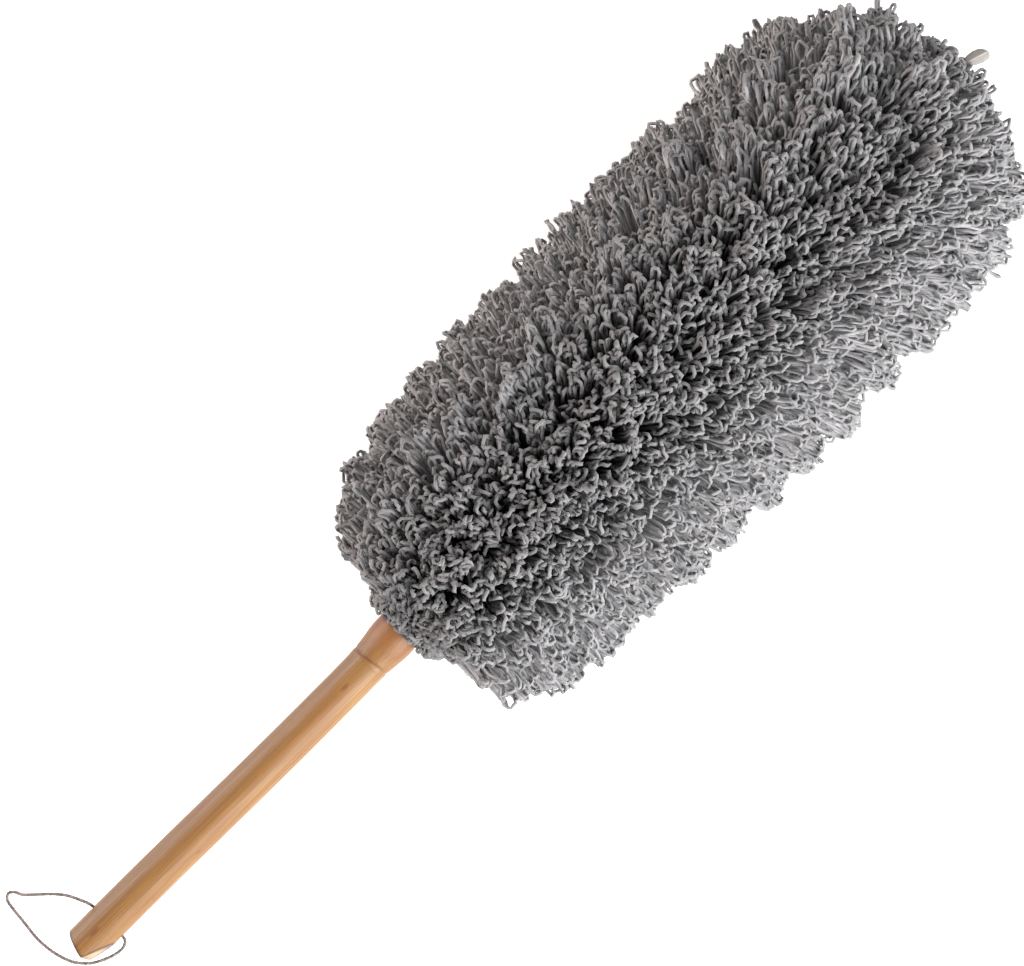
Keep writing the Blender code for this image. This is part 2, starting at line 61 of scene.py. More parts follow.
def ring_mesh(name, rings, ends="capped"):
    """A smooth mesh through rings of points, with the two ways over it in metres as its UV map "weave"."""
    rings = np.asarray(rings, dtype=float)
    count, sides = rings.shape[:2]
    bm = bmesh.new()
    weave = bm.loops.layers.uv.new("weave")
    spots = [[bm.verts.new(p) for p in ring] for ring in rings]
    shifts = np.linalg.norm(np.roll(rings, -1, axis=0) - rings, axis=2).mean(axis=1)
    along = np.concatenate([[0], np.cumsum(shifts)])
    widths = np.linalg.norm(np.roll(rings, -1, axis=1) - rings, axis=2).max(axis=0)
    around = np.concatenate([[0], np.cumsum(widths)])
    for i in range(count if ends == "joined" else count - 1):
        for j in range(sides):
            k = (i + 1) % count
            n = (j + 1) % sides
            face = bm.faces.new((spots[i][j], spots[k][j], spots[k][n], spots[i][n]))
            corners = ((i, j), (i + 1, j), (i + 1, j + 1), (i, j + 1))
            for loop, (a, b) in zip(face.loops, corners):
                loop[weave].uv = (along[a], around[b])
    if ends == "capped":
        for i, ring in ((0, rings[0]), (count - 1, rings[-1])):
            middle = bm.verts.new(ring.mean(axis=0))
            for j in range(sides):
                n = (j + 1) % sides
                face = bm.faces.new((spots[i][j], spots[i][n], middle))
                for loop, b in zip(face.loops, (j, j + 1, j)):
                    loop[weave].uv = (along[i], around[b])
    bmesh.ops.recalc_face_normals(bm, faces=bm.faces)
    mesh = bpy.data.meshes.new(name)
    bm.to_mesh(mesh)
    bm.free()
    mesh.shade_smooth()
    return mesh


def piece_of(name, mesh, material, body, slot, *nodes):
    """Puts a mesh in the scene as a piece that rides on a body and stands for the model's nodes."""
    piece = bpy.data.objects.new(name, mesh)
    bpy.context.scene.collection.objects.link(piece)
    mesh.materials.append(material)
    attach(piece, body)
    if nodes:
        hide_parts(*nodes)
    return piece


def add_node(tree, kind, inputs=None, **settings):
    """A node of a tree. Its inputs are plain values or the outputs of other nodes."""
    made = tree.nodes.new(kind)
    made.location = (190 * (len(tree.nodes) % 12), -260 * (len(tree.nodes) // 12))
    for name, value in settings.items():
        setattr(made, name, value)
    for name, value in (inputs or {}).items():
        if isinstance(value, bpy.types.NodeSocket):
            tree.links.new(value, made.inputs[name])
        else:
            made.inputs[name].default_value = value
    return made


def calc(tree, operation, *values):
    return add_node(tree, "ShaderNodeMath", dict(enumerate(values)), operation=operation).outputs[0]


def vector_calc(tree, operation, *values):
    made = add_node(tree, "ShaderNodeVectorMath", operation=operation)
    for socket, value in zip([s for s in made.inputs if s.enabled], values):
        if isinstance(value, bpy.types.NodeSocket):
            tree.links.new(value, socket)
        else:
            socket.default_value = value
    return next(s for s in made.outputs if s.enabled)


def srgb(red, green, blue):
    """A colour from its values on a screen, 0 to 255."""
    share = [v / 255 for v in (red, green, blue)]
    linear = [v / 12.92 if v <= 0.04045 else ((v + 0.055) / 1.055) ** 2.4 for v in share]
    return (*linear, 1.0)


def mixed(tree, mask, low, high):
    """One colour turning into another by a mask."""
    return add_node(
        tree, "ShaderNodeMix", {"Factor": mask, 6: low, 7: high}, data_type="RGBA"
    ).outputs[2]


def ramp(tree, value, start, end):
    """0 below start and 1 above end."""
    return add_node(
        tree,
        "ShaderNodeMapRange",
        {"Value": value, "From Min": start, "From Max": end},
        interpolation_type="SMOOTHSTEP",
    ).outputs[0]


def own_value(tree, name):
    return add_node(tree, "ShaderNodeAttribute", attribute_name=name).outputs["Fac"]


def new_material(name, roughness, metallic=0.0):
    """A material with its own shader: (material, its tree, the shader's inputs)."""
    material = bpy.data.materials.new(name)
    material.use_nodes = True
    tree = material.node_tree
    shader = tree.nodes["Principled BSDF"]
    shader.inputs["Roughness"].default_value = roughness
    shader.inputs["Metallic"].default_value = metallic
    return material, tree, shader.inputs


def rough_relief(tree, shader_inputs, height, depth, strength=0.6):
    bump = add_node(
        tree, "ShaderNodeBump", {"Height": height, "Distance": depth, "Strength": strength}
    )
    tree.links.new(bump.outputs[0], shader_inputs["Normal"])
    return bump


def shader_group(name, given, made):
    """An empty group of shader nodes with named sockets: (group, its inputs, its output node)."""
    group = bpy.data.node_groups.new(name, "ShaderNodeTree")
    for label, value in given:
        socket = group.interface.new_socket(label, in_out="INPUT", socket_type="NodeSocketFloat")
        socket.default_value = value
    for label in made:
        group.interface.new_socket(label, in_out="OUTPUT", socket_type="NodeSocketFloat")
    return group, group.nodes.new("NodeGroupInput").outputs, group.nodes.new("NodeGroupOutput")


def use_group(tree, group, **values):
    made = tree.nodes.new("ShaderNodeGroup")
    made.node_tree = group
    for label, value in values.items():
        made.inputs[label.replace("_", " ")].default_value = value
    return made.outputs


# Streaks that run along the duster, for bamboo and turned wood
grain, given, made = shader_group(
    "long_grain", [("Fineness", 900.0), ("Stretch", 30.0)], ["Streaks", "Clouds"]
)
where = add_node(grain, "ShaderNodeTexCoord").outputs["Object"]
scale = add_node(
    grain,
    "ShaderNodeCombineXYZ",
    {"X": given["Stretch"], "Y": given["Fineness"], "Z": given["Fineness"]},
).outputs[0]
streaks = add_node(
    grain,
    "ShaderNodeTexNoise",
    {"Vector": vector_calc(grain, "MULTIPLY", where, scale), "Scale": 1.0, "Detail": 4.0},
).outputs["Fac"]
grain.links.new(ramp(grain, streaks, 0.30, 0.70), made.inputs["Streaks"])
clouds = add_node(
    grain,
    "ShaderNodeTexNoise",
    {"Vector": vector_calc(grain, "MULTIPLY", where, (28.0, 110.0, 110.0)), "Scale": 1.0, "Detail": 3.0},
).outputs["Fac"]
grain.links.new(ramp(grain, clouds, 0.32, 0.68), made.inputs["Clouds"])

# Speckle and clouding of any size, for yarn, thread, wadding and metal
mottle, given, made = shader_group("mottle", [("Grain Size", 0.001)], ["Mask"])
where = add_node(mottle, "ShaderNodeTexCoord").outputs["Object"]
speckle = add_node(
    mottle,
    "ShaderNodeTexNoise",
    {"Vector": where, "Scale": calc(mottle, "DIVIDE", 1.0, given["Grain Size"]), "Detail": 3.0},
).outputs["Fac"]
mottle.links.new(ramp(mottle, speckle, 0.32, 0.68), made.inputs["Mask"])

bamboo_skin, tree, shader = new_material("bamboo_skin", 0.42)
shader["Coat Weight"].default_value = 0.07
shader["Coat Roughness"].default_value = 0.35
fine = use_group(tree, grain, Fineness=1500.0, Stretch=22.0)
coat = mixed(tree, fine["Streaks"], srgb(130, 90, 43), srgb(153, 112, 56))
coat = mixed(tree, calc(tree, "MULTIPLY", fine["Clouds"], 0.5), coat, srgb(130, 83, 40))
from_node = own_value(tree, "from_node")
ring_line = calc(tree, "SUBTRACT", 1.0, ramp(tree, calc(tree, "ABSOLUTE", from_node), 0.0002, 0.0010))
place = add_node(tree, "ShaderNodeTexCoord").outputs["Object"]
to_far_side = add_node(tree, "ShaderNodeSeparateXYZ", {"Vector": place}).outputs["Y"]
# Painted shade: the cane's far (+Y) side is turned darker brown, as the side away from the key light.
far_side_shade = calc(tree, "MULTIPLY", ramp(tree, to_far_side, -0.003, 0.008), 0.62)
coat = mixed(tree, far_side_shade, coat, srgb(102, 68, 42))
# The node's ring line is darker towards the far (+Y) side.
ring_far_side_share = ramp(tree, to_far_side, -0.006, 0.001)
ring_line = calc(tree, "MULTIPLY", ring_line, calc(tree, "ADD", 0.25, calc(tree, "MULTIPLY", ring_far_side_share, 0.65)))
coat = mixed(tree, ring_line, coat, srgb(104, 62, 36))
collar = ramp(tree, from_node, 0.001, 0.014)
coat = mixed(tree, calc(tree, "MULTIPLY", collar, 0.50), coat, srgb(150, 94, 44))
for spot, reach in (
    ((-0.1235, -0.0012, 0.0941), 0.0012),
    ((-0.2262, -0.0066, 0.0914), 0.0010),
    ((-0.0880, 0.0082, 0.0905), 0.0042),
    ((-0.2865, 0.0012, 0.0941), 0.0016),
):
    away = vector_calc(tree, "MULTIPLY", vector_calc(tree, "SUBTRACT", place, spot), (0.35, 1.0, 1.0))
    scar = calc(
        tree, "SUBTRACT", 1.0, ramp(tree, vector_calc(tree, "LENGTH", away), reach * 0.3, reach)
    )
    coat = mixed(tree, calc(tree, "MULTIPLY", scar, 0.7), coat, srgb(112, 58, 38))
pith = add_node(tree, "ShaderNodeTexVoronoi", {"Vector": place, "Scale": 1100.0}).outputs["Distance"]
pores = ramp(tree, pith, 0.22, 0.42)
pale = mixed(tree, pores, srgb(156, 108, 64), srgb(204, 170, 126))
coat = mixed(tree, ramp(tree, own_value(tree, "sawn"), 0.35, 0.75), coat, pale)
# Real stains on the butt, and painted shade in the cord hole's mouths, in one dark brown.
coat = mixed(tree, own_value(tree, "stain_and_hole_shade"), coat, srgb(72, 44, 26))
tree.links.new(coat, shader["Base Color"])
shine = add_node(tree, "ShaderNodeMapRange", {"Value": fine["Streaks"], "To Min": 0.50, "To Max": 0.38})
tree.links.new(shine.outputs[0], shader["Roughness"])
rough_relief(tree, shader, fine["Streaks"], 0.00012, 0.5)


def near(value, middle, width):
    return np.exp(-(((value - middle) / width) ** 2))


def step_down(value, start, end):
    share = np.clip((value - start) / (end - start), 0, 1)
    return 1 - share * share * (3 - 2 * share)


# Directions round the cane, closest together at the cord hole's two mouths and the pin's two ends
turns = [np.linspace(-0.22, 0.22, 23), np.linspace(math.pi / 2 - 0.2, math.pi / 2 + 0.2, 13)]
turns += [np.linspace(math.pi - 0.22, math.pi + 0.22, 23)]
turns += [np.linspace(1.5 * math.pi - 0.2, 1.5 * math.pi + 0.2, 13)]
gaps = [np.linspace(a[-1], b[0], 11)[1:-1] for a, b in zip(turns, turns[1:] + [turns[0] + math.tau])]
turns = np.concatenate([part for pair in zip(turns, gaps) for part in pair])
ways = np.stack([np.cos(turns), np.sin(turns)], axis=1)


def cane_radius(x, tilt):
    """The cane's radius, x from the butt: the flare above the node and the groove of the node's ring."""
    from_ring = x - NODE_AT + NODE_TILT * tilt
    past = x - np.clip(x, SWELL_FROM, SWELL_TO)
    swell = SWELL * near(past, 0, 0.0105 if past < 0 else 0.0070)
    ring = 0.0001 * near(from_ring, -0.0018, 0.0008) - RING_GROOVE * near(from_ring, 0, 0.0008)
    return CANE_RADIUS + swell + ring


def butt_plane(y, z):
    """The two saw cuts of the butt, with a slightly worn edge between them."""
    square = 0.0009 + 0.279 * y
    oblique = -0.0172 - 3.11 * y + 0.90 * z
    return 0.5 * (square + oblique + np.sqrt((square - oblique) ** 2 + 0.0007**2))


# Rings of points from the sawn face over the worn rim, down the cane and back up inside the socket
rim = 0.0007
rings, sawn, stain_and_hole_shade = [], [], []
for share in (0.12, 0.28, 0.45, 0.60, 0.74, 0.86):
    spot = share * (CANE_RADIUS - rim) * ways
    rings.append(np.column_stack([butt_plane(*spot.T), spot]))
    sawn.append(1.0)
    stain_and_hole_shade.append(0.10)
for turn in np.linspace(0, math.pi / 2, 6):
    spot = (CANE_RADIUS - rim + rim * math.sin(turn)) * ways
    rings.append(np.column_stack([butt_plane(*spot.T) + rim * (1 - math.cos(turn)), spot]))
    sawn.append(1.0 if turn < 0.7 else 0.4 if turn < 1.2 else 0.0)
    stain_and_hole_shade.append(0.35 if turn < 0.7 else 0.75)
rim_x = rings[-1][:, 0]
for share in np.linspace(0, 1, 60)[1:]:
    x = rim_x + (0.030 - rim_x) * share
    rings.append(np.column_stack([x, CANE_RADIUS * ways]))
    sawn.append(0.0)
    stain_and_hole_shade.append(0.70 * max(0.0, 1 - share * 26))
stations = np.concatenate(
    [
        np.linspace(0.030, 0.176, 24)[1:],
        np.linspace(0.176, 0.1900, 12)[1:],
        np.linspace(0.1900, 0.1970, 30)[1:],
        np.linspace(0.1970, 0.2210, 20)[1:],
        np.linspace(0.2210, 0.2260, 21)[1:],
        np.linspace(0.2260, CANE_LENGTH - 0.0006, 8)[1:],
    ]
)
for x in stations:
    radius = cane_radius(x, CANE_RADIUS * ways[:, 0])
    rings.append(np.column_stack([np.full(len(turns), x), radius[:, None] * ways]))
    sawn.append(0.0)
    stain_and_hole_shade.append(0.0)
end_radius = float(cane_radius(CANE_LENGTH, 0.0))
for x, radius in (
    (CANE_LENGTH - 0.0003, end_radius - 0.00015),
    (CANE_LENGTH, end_radius - 0.0006),
    (CANE_LENGTH, 0.0075),
    (CANE_LENGTH, SOCKET_RADIUS),
    (CANE_LENGTH - 0.004, SOCKET_RADIUS),
    (CANE_LENGTH - SOCKET_DEPTH, SOCKET_RADIUS),
):
    rings.append(np.column_stack([np.full(len(turns), x), radius * ways]))
    sawn.append(1.0 if radius < end_radius - 0.0005 else 0.5)
    stain_and_hole_shade.append(0.10)

# The cane isn't quite round, its two cross holes are dished at their mouths, and it bends a little
rings = np.array(rings)
sawn = np.repeat(np.array(sawn)[:, None], len(turns), axis=1)
stain_and_hole_shade = np.repeat(np.array(stain_and_hole_shade)[:, None], len(turns), axis=1)
x, y, z = rings[..., 0], rings[..., 1], rings[..., 2]
side = np.hypot(y, z) > 0.8 * CANE_RADIUS
uneven = 1 + 0.008 * np.sin(2 * turns + 1.2 + 12 * x) + 0.005 * np.sin(3 * turns + 25 * x)
mouth = side * step_down(np.hypot(x - CORD_HOLE_AT, z), CORD_HOLE_RADIUS - 0.0003, CORD_HOLE_RADIUS + 0.0006)
pin_mouth = side * step_down(np.hypot(x - PIN_AT, y), 0.0014, 0.0018)
inward = uneven - 0.7 * mouth - 0.055 * pin_mouth
rings[..., 1:] *= np.where(side, inward, 1.0)[..., None]
bend = 0.0013 * (1 - step_down(x, 0.02, 0.15)) * step_down(x, 0.175, CANE_LENGTH - 0.002)
rings[..., 1] -= np.where(side, bend, 0.0)
beside_cut = np.clip((rim_x - (0.0009 + 0.279 * CANE_RADIUS * ways[:, 0])) / 0.0015, 0, 1)
scorched = 0.85 * side * beside_cut * np.clip(1.4 - (x - rim_x) / 0.0010, 0, 1)
# Painted shade: the cord hole's dished mouths are coloured as dark as the stains, standing for the shade
# inside the hole.
stain_and_hole_shade = np.maximum(np.maximum(stain_and_hole_shade, mouth), scorched)
from_ring = x - NODE_AT + NODE_TILT * y
rings += np.array([BUTT_X, 0, AXIS_HEIGHT])
mesh = ring_mesh("bamboo_cane_skin", rings)
for name, values in (("sawn", sawn), ("stain_and_hole_shade", stain_and_hole_shade), ("from_node", from_ring)):
    values = np.append(values.ravel(), [values[0, 0], values[-1, 0]])
    mesh.attributes.new(name, "FLOAT", "POINT").data.foreach_set("value", values.astype(np.float32))
piece_of("bamboo_cane_skin", mesh, bamboo_skin, "handle", "bamboo", "bamboo_cane")

# Hang cord
# A limp three-ply twine, 1.6 mm thick, threaded through the cross hole at the butt of the cane.
# Its two ends are knotted together in the hollow of the cane, so both legs of the loop start there.
CORD_DIAMETER = 0.0016
CORD_ROUTE = [
    (0.0000, 0.0026, 0.0000),
    (0.0000, 0.0065, 0.0000),
    (0.0000, 0.0111, 0.0000),
    (-0.0021, 0.0164, -0.0006),
    (-0.0055, 0.0225, -0.0022),
    (-0.0106, 0.0280, -0.0046),
    (-0.0172, 0.0337, -0.0075),
    (-0.0213, 0.0374, -0.0094),
    (-0.0235, 0.0410, -0.0109),
    (-0.0262, 0.0427, -0.0118),
    (-0.0289, 0.0408, -0.0122),
    (-0.0299, 0.0362, -0.0121),
    (-0.0306, 0.0278, -0.0114),
    (-0.0311, 0.0185, -0.0090),
    (-0.0300, 0.0096, -0.0066),
    (-0.0275, 0.0020, -0.0040),
    (-0.0243, -0.0033, -0.0016),
    (-0.0191, -0.0083, 0.0003),
    (-0.0128, -0.0117, 0.0008),
    (-0.0077, -0.0134, 0.0005),
    (-0.0036, -0.0137, 0.0001),
    (-0.0008, -0.0122, 0.0000),
    (0.0000, -0.0098, 0.0000),
    (0.0000, -0.0065, 0.0000),
    (0.0000, -0.0026, 0.0000),
]


def smooth_route(route, count):
    """Evenly spaced points on a smooth curve through the route's own points."""
    points = np.array(route)
    ends = np.vstack([2 * points[0] - points[1], points, 2 * points[-1] - points[-2]])
    share = np.linspace(0, 1, 24, endpoint=False)[:, None]
    fine = []
    for before, start, end, after in zip(ends, ends[1:], ends[2:], ends[3:]):
        fine.append(
            0.5
            * (
                2 * start
                + (end - before) * share
                + (2 * before - 5 * start + 4 * end - after) * share**2
                + (3 * start - before - 3 * end + after) * share**3
            )
        )
    fine = np.vstack([*fine, points[-1:]])
    along = np.concatenate([[0], np.cumsum(np.linalg.norm(np.diff(fine, axis=0), axis=1))])
    wanted = np.linspace(0, along[-1], count)
    return np.stack([np.interp(wanted, along, fine[:, axis]) for axis in range(3)], axis=1)


def cord_rings(points, radius, sides=18, plies=3, lay=0.0055, closed=False):
    """Rings of a laid cord along a line of points: a lobe for each ply, turning once in each lay."""
    points = np.asarray(points)
    if closed:
        forward = np.roll(points, -1, axis=0) - np.roll(points, 1, axis=0)
    else:
        forward = np.gradient(points, axis=0)
    forward /= np.linalg.norm(forward, axis=1, keepdims=True)
    normal = np.cross(forward[0], (0.3, 0.2, 0.93))
    places = np.concatenate([[0], np.cumsum(np.linalg.norm(np.diff(points, axis=0), axis=1))])
    around = np.linspace(0, math.tau, sides, endpoint=False)
    rings = []
    for point, way, place in zip(points, forward, places):
        normal = normal - way * normal.dot(way)
        normal /= np.linalg.norm(normal)
        side = np.cross(way, normal)
        lobe = radius * (0.76 + 0.24 * np.abs(np.cos(plies / 2 * around)))
        turn = around + math.tau * place / lay
        rings.append(
            point + (lobe * np.cos(turn))[:, None] * normal + (lobe * np.sin(turn))[:, None] * side
        )
    return rings


twine, tree, shader = new_material("twine", 0.85)
shader["Sheen Weight"].default_value = 0.2
flecks = use_group(tree, mottle, Grain_Size=0.0014)
bands = use_group(tree, mottle, Grain_Size=0.0060)
tint = mixed(tree, flecks["Mask"], srgb(88, 80, 77), srgb(150, 141, 137))
tint = mixed(tree, calc(tree, "MULTIPLY", bands["Mask"], 0.25), tint, srgb(134, 92, 86))
tree.links.new(tint, shader["Base Color"])
fibres = use_group(tree, mottle, Grain_Size=0.0003)
rough_relief(tree, shader, fibres["Mask"], 0.00012)

hole = np.array([BUTT_X + CORD_HOLE_AT, 0.0, AXIS_HEIGHT])
cord_points = smooth_route(CORD_ROUTE, 420) + hole
cord = piece_of(
    "hang_cord_twine",
    ring_mesh("hang_cord_twine", cord_rings(cord_points, CORD_DIAMETER / 2)),
    twine,
    "handle",
    "twine",
    "hang_cord",
)
turn = np.linspace(0, math.tau, 90, endpoint=False)
knot_line = np.stack(
    [
        np.sin(turn) + 2 * np.sin(2 * turn),
        np.cos(turn) - 2 * np.cos(2 * turn),
        -np.sin(3 * turn),
    ],
    axis=1,
)
knot_rings = cord_rings(hole + 0.00052 * knot_line, 0.0007, 14, lay=0.004, closed=True)
knot = piece_of(
    "hang_cord_knot",
    ring_mesh("hang_cord_knot", knot_rings, "joined"),
    twine,
    "handle",
    "twine",
    "cord_knot",
)

# Core rod, cross pin and end button
# A turned wooden rod carries the head. It is plugged into the cane and held by a steel pin through both.
# A rounded wooden button on its far end keeps it from poking through the sleeve.
pale_wood, tree, shader = new_material("pale_wood", 0.62)
fine = use_group(tree, grain, Fineness=700.0, Stretch=14.0)
wood = mixed(tree, fine["Streaks"], srgb(196, 164, 122), srgb(226, 200, 160))
wood = mixed(tree, calc(tree, "MULTIPLY", fine["Clouds"], 0.35), wood, srgb(178, 142, 100))
tree.links.new(wood, shader["Base Color"])
rough_relief(tree, shader, fine["Streaks"], 0.0001, 0.5)

steel, tree, shader = new_material("drawn_steel", 0.32, 1.0)
marks = use_group(tree, mottle, Grain_Size=0.0006)
tree.links.new(mixed(tree, marks["Mask"], srgb(168, 168, 170), srgb(205, 205, 208)), shader["Base Color"])
shine = add_node(tree, "ShaderNodeMapRange", {"Value": marks["Mask"], "To Min": 0.26, "To Max": 0.44})
tree.links.new(shine.outputs[0], shader["Roughness"])

for node, material in (("core_dowel", pale_wood), ("end_button", pale_wood), ("cross_pin", steel)):
    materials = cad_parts[node].data.materials
    materials.clear()
    materials.append(material)

# Core wadding
# A strip of soft grey wadding is wound round the rod in a long spiral, which gives the core one thickness.
# It starts at the end of the cane and stops at the button.
WADDING_START = -0.0632
WADDING_END = 0.26735
WADDING_RADIUS = 0.0110
WADDING_STRIP = 0.030

wadding, tree, shader = new_material("wadding", 0.95)
shader["Sheen Weight"].default_value = 0.3
cloud = use_group(tree, mottle, Grain_Size=0.0040)
tuft = use_group(tree, mottle, Grain_Size=0.0007)
tint = mixed(tree, cloud["Mask"], srgb(134, 132, 127), srgb(166, 164, 158))
tint = mixed(tree, calc(tree, "MULTIPLY", tuft["Mask"], 0.25), tint, srgb(108, 106, 102))
tree.links.new(tint, shader["Base Color"])
rough_relief(tree, shader, tuft["Mask"], 0.0004)

turn = np.linspace(0, math.tau, 64, endpoint=False)
rings = [
    np.column_stack([np.full(64, WADDING_START), 0.0053 * np.cos(turn), 0.0053 * np.sin(turn)])
]
places = np.concatenate(
    [[0.0, 0.00025, 0.0007], np.linspace(0.0014, WADDING_END - WADDING_START - 0.0014, 330)]
)
places = np.concatenate([places, WADDING_END - WADDING_START - np.array([0.0007, 0.00025, 0.0])])
for place in places:
    from_end = min(place, WADDING_END - WADDING_START - place)
    rounding = 0.0014 * (1 - math.sqrt(max(0.0, 1 - (1 - min(from_end / 0.0014, 1)) ** 2)))
    wound = (place / WADDING_STRIP + turn / math.tau) % 1
    seam = 0.00045 * np.exp(-((np.minimum(wound, 1 - wound) / 0.035) ** 2))
    swell = 0.00016 * np.sin(math.pi * wound) - 0.00005 + 0.00008 * np.sin(5 * turn + 140 * place)
    radius = WADDING_RADIUS - rounding - seam + swell
    rings.append(
        np.column_stack(
            [np.full(64, WADDING_START + place), radius * np.cos(turn), radius * np.sin(turn)]
        )
    )
rings.append(np.column_stack([np.full(64, WADDING_END), 0.0053 * np.cos(turn), 0.0053 * np.sin(turn)]))
rings = np.array(rings) + np.array([0, 0, AXIS_HEIGHT])
pad = piece_of(
    "core_wadding",
    ring_mesh("core_wadding", rings, "joined"),
    wadding,
    "handle",
    "foam",
    "core_padding",
)

# Elastic hem
# A ribbed elastic band sewn round the open end of the sleeve. It grips the cane and keeps the sleeve on.
HEAD_X = -0.0885
SLEEVE_BORE = 0.0114
BACKING_RADIUS = 0.0130

# Yarns that cross each other, for knitted and woven cloth: pitches over the piece's own two ways
cloth, given, made = shader_group(
    "cloth", [("Pitch Along", 0.001), ("Pitch Round", 0.001), ("Chevron", 0.0)], ["Height"]
)
weave = add_node(cloth, "ShaderNodeUVMap", uv_map="weave").outputs[0]
where = add_node(cloth, "ShaderNodeSeparateXYZ", {"Vector": weave})
first = calc(cloth, "DIVIDE", where.outputs["X"], given["Pitch Along"])
second = calc(cloth, "DIVIDE", where.outputs["Y"], given["Pitch Round"])
bend = calc(cloth, "ABSOLUTE", calc(cloth, "SUBTRACT", calc(cloth, "FRACT", second), 0.5))
first = calc(cloth, "ADD", first, calc(cloth, "MULTIPLY", bend, given["Chevron"]))
humps = calc(
    cloth,
    "MULTIPLY",
    calc(cloth, "ABSOLUTE", calc(cloth, "SINE", calc(cloth, "MULTIPLY", first, math.pi))),
    calc(cloth, "ABSOLUTE", calc(cloth, "SINE", calc(cloth, "MULTIPLY", second, math.pi))),
)
cloth.links.new(calc(cloth, "POWER", humps, 0.5), made.inputs["Height"])

elastic, tree, shader = new_material("elastic", 0.85)
ribs = use_group(tree, cloth, Pitch_Along=0.0005, Pitch_Round=0.0008)["Height"]
speck = use_group(tree, mottle, Grain_Size=0.0005)["Mask"]
tint = mixed(tree, ribs, srgb(58, 58, 60), srgb(112, 112, 115))
tree.links.new(mixed(tree, calc(tree, "MULTIPLY", speck, 0.3), tint, srgb(90, 90, 93)), shader["Base Color"])
rough_relief(tree, shader, ribs, 0.0003)

turn = np.linspace(0, math.tau, 240, endpoint=False)
rings = []
for step in np.linspace(0, math.tau, 20, endpoint=False):
    along = math.copysign(abs(math.cos(step)) ** 0.5, math.cos(step))
    out = math.copysign(abs(math.sin(step)) ** 0.7, math.sin(step))
    rib = 0.00012 * np.cos(60 * turn) * max(0.0, out)
    radius = SLEEVE_BORE + 0.0010 + 0.00098 * out + rib - 0.00012 * max(0.0, out)
    x = np.full(240, HEAD_X + 0.0035 + 0.00249 * along)
    rings.append(np.column_stack([x, radius * np.cos(turn), radius * np.sin(turn) + AXIS_HEIGHT]))
piece_of(
    "elastic_hem",
    ring_mesh("elastic_hem", rings, "joined"),
    elastic,
    "sleeve",
    "elastic",
    "hem_band",
)

# Knitted backing
# The pile's loops are drawn through a knitted tube, which slides over the wadding. It is sewn to the hem.
BACKING_START = 0.0064
BACKING_END = 0.3646

knit, tree, shader = new_material("knit_backing", 0.9)
stitches = use_group(tree, cloth, Pitch_Along=0.0012, Pitch_Round=0.0010, Chevron=1.1)["Height"]
speck = use_group(tree, mottle, Grain_Size=0.0006)["Mask"]
tint = mixed(tree, stitches, srgb(48, 48, 51), srgb(96, 96, 100))
tree.links.new(mixed(tree, calc(tree, "MULTIPLY", speck, 0.3), tint, srgb(76, 76, 79)), shader["Base Color"])
rough_relief(tree, shader, stitches, 0.0004)

turn = np.linspace(0, math.tau, 72, endpoint=False)
rings = []
for x, radius in (
    *((x, BACKING_RADIUS) for x in np.linspace(BACKING_START, BACKING_END, 60)),
    *((x, SLEEVE_BORE) for x in np.linspace(BACKING_END, BACKING_START, 60)),
):
    drawn = 0.00008 * np.sin(9 * turn + 300 * x)
    ring = np.column_stack([(radius + drawn) * np.cos(turn), (radius + drawn) * np.sin(turn)])
    rings.append(np.column_stack([np.full(72, HEAD_X + x), ring + (0, AXIS_HEIGHT)]))
piece_of("knit_backing", ring_mesh("knit_backing", rings, "joined"), knit, "sleeve", "backing")

# Pile
# Sixteen rows of looped microfibre yarn, drawn through the backing in clumps, about two dozen clumps a row.
# Each clump fans out, its loops end on a rounded cushion, and the yarn curls over to all sides at its tips.
PILE_ROWS = 16
CLUMP_WIDTH = 0.0085
CUSHION_POINTS = 7
CUSHION_DEPTH = 0.018
FREE_LENGTH = 0.05
SHOULDER_RISE = 0.0042
TIP_FALL = 0.0050
PILE_OUTLINE = [
    (0.0165, 0.0520),
    (0.0180, 0.0590),
    (0.0220, 0.0660),
    (0.0290, 0.0715),
    (0.0390, 0.0758),
    (0.0520, 0.0793),
    (0.0720, 0.0825),
    (0.0980, 0.0848),
    (0.1300, 0.0862),
    (0.1700, 0.0866),
    (0.2900, 0.0866),
    (0.3120, 0.0846),
    (0.3280, 0.0810),
    (0.3400, 0.0765),
    (0.3500, 0.0705),
    (0.3580, 0.0632),
    (0.3645, 0.0540),
    (0.3700, 0.0425),
    (0.3740, 0.0310),
    (0.3775, 0.0150),
]
PILE_FACE = [(-0.0030, 0.0165), (0.0005, 0.0215), (0.0100, 0.0285), (0.0165, 0.0400), (0.0165, 0.0520)]

outline = smooth_route([(x, r, 0.0) for x, r in PILE_OUTLINE], 400)[:, :2]
face_line = smooth_route([(x, r, 0.0) for x, r in PILE_FACE], 60)[:, :2]


def outline_point(row_place):
    """(place along the head, radius) on the pile's outside; below 0 it is on the face towards the handle."""
    row_place = np.asarray(row_place)
    share = np.clip(row_place / PILE_ROWS, 0, 1) * (len(outline) - 1)
    face_share = np.clip(1 + row_place, 0, 1) * (len(face_line) - 1)
    spot = []
    for axis in (0, 1):
        main = np.interp(share, np.arange(len(outline)), outline[:, axis])
        front = np.interp(face_share, np.arange(len(face_line)), face_line[:, axis])
        spot.append(np.where(row_place < 0, front, main))
    return spot


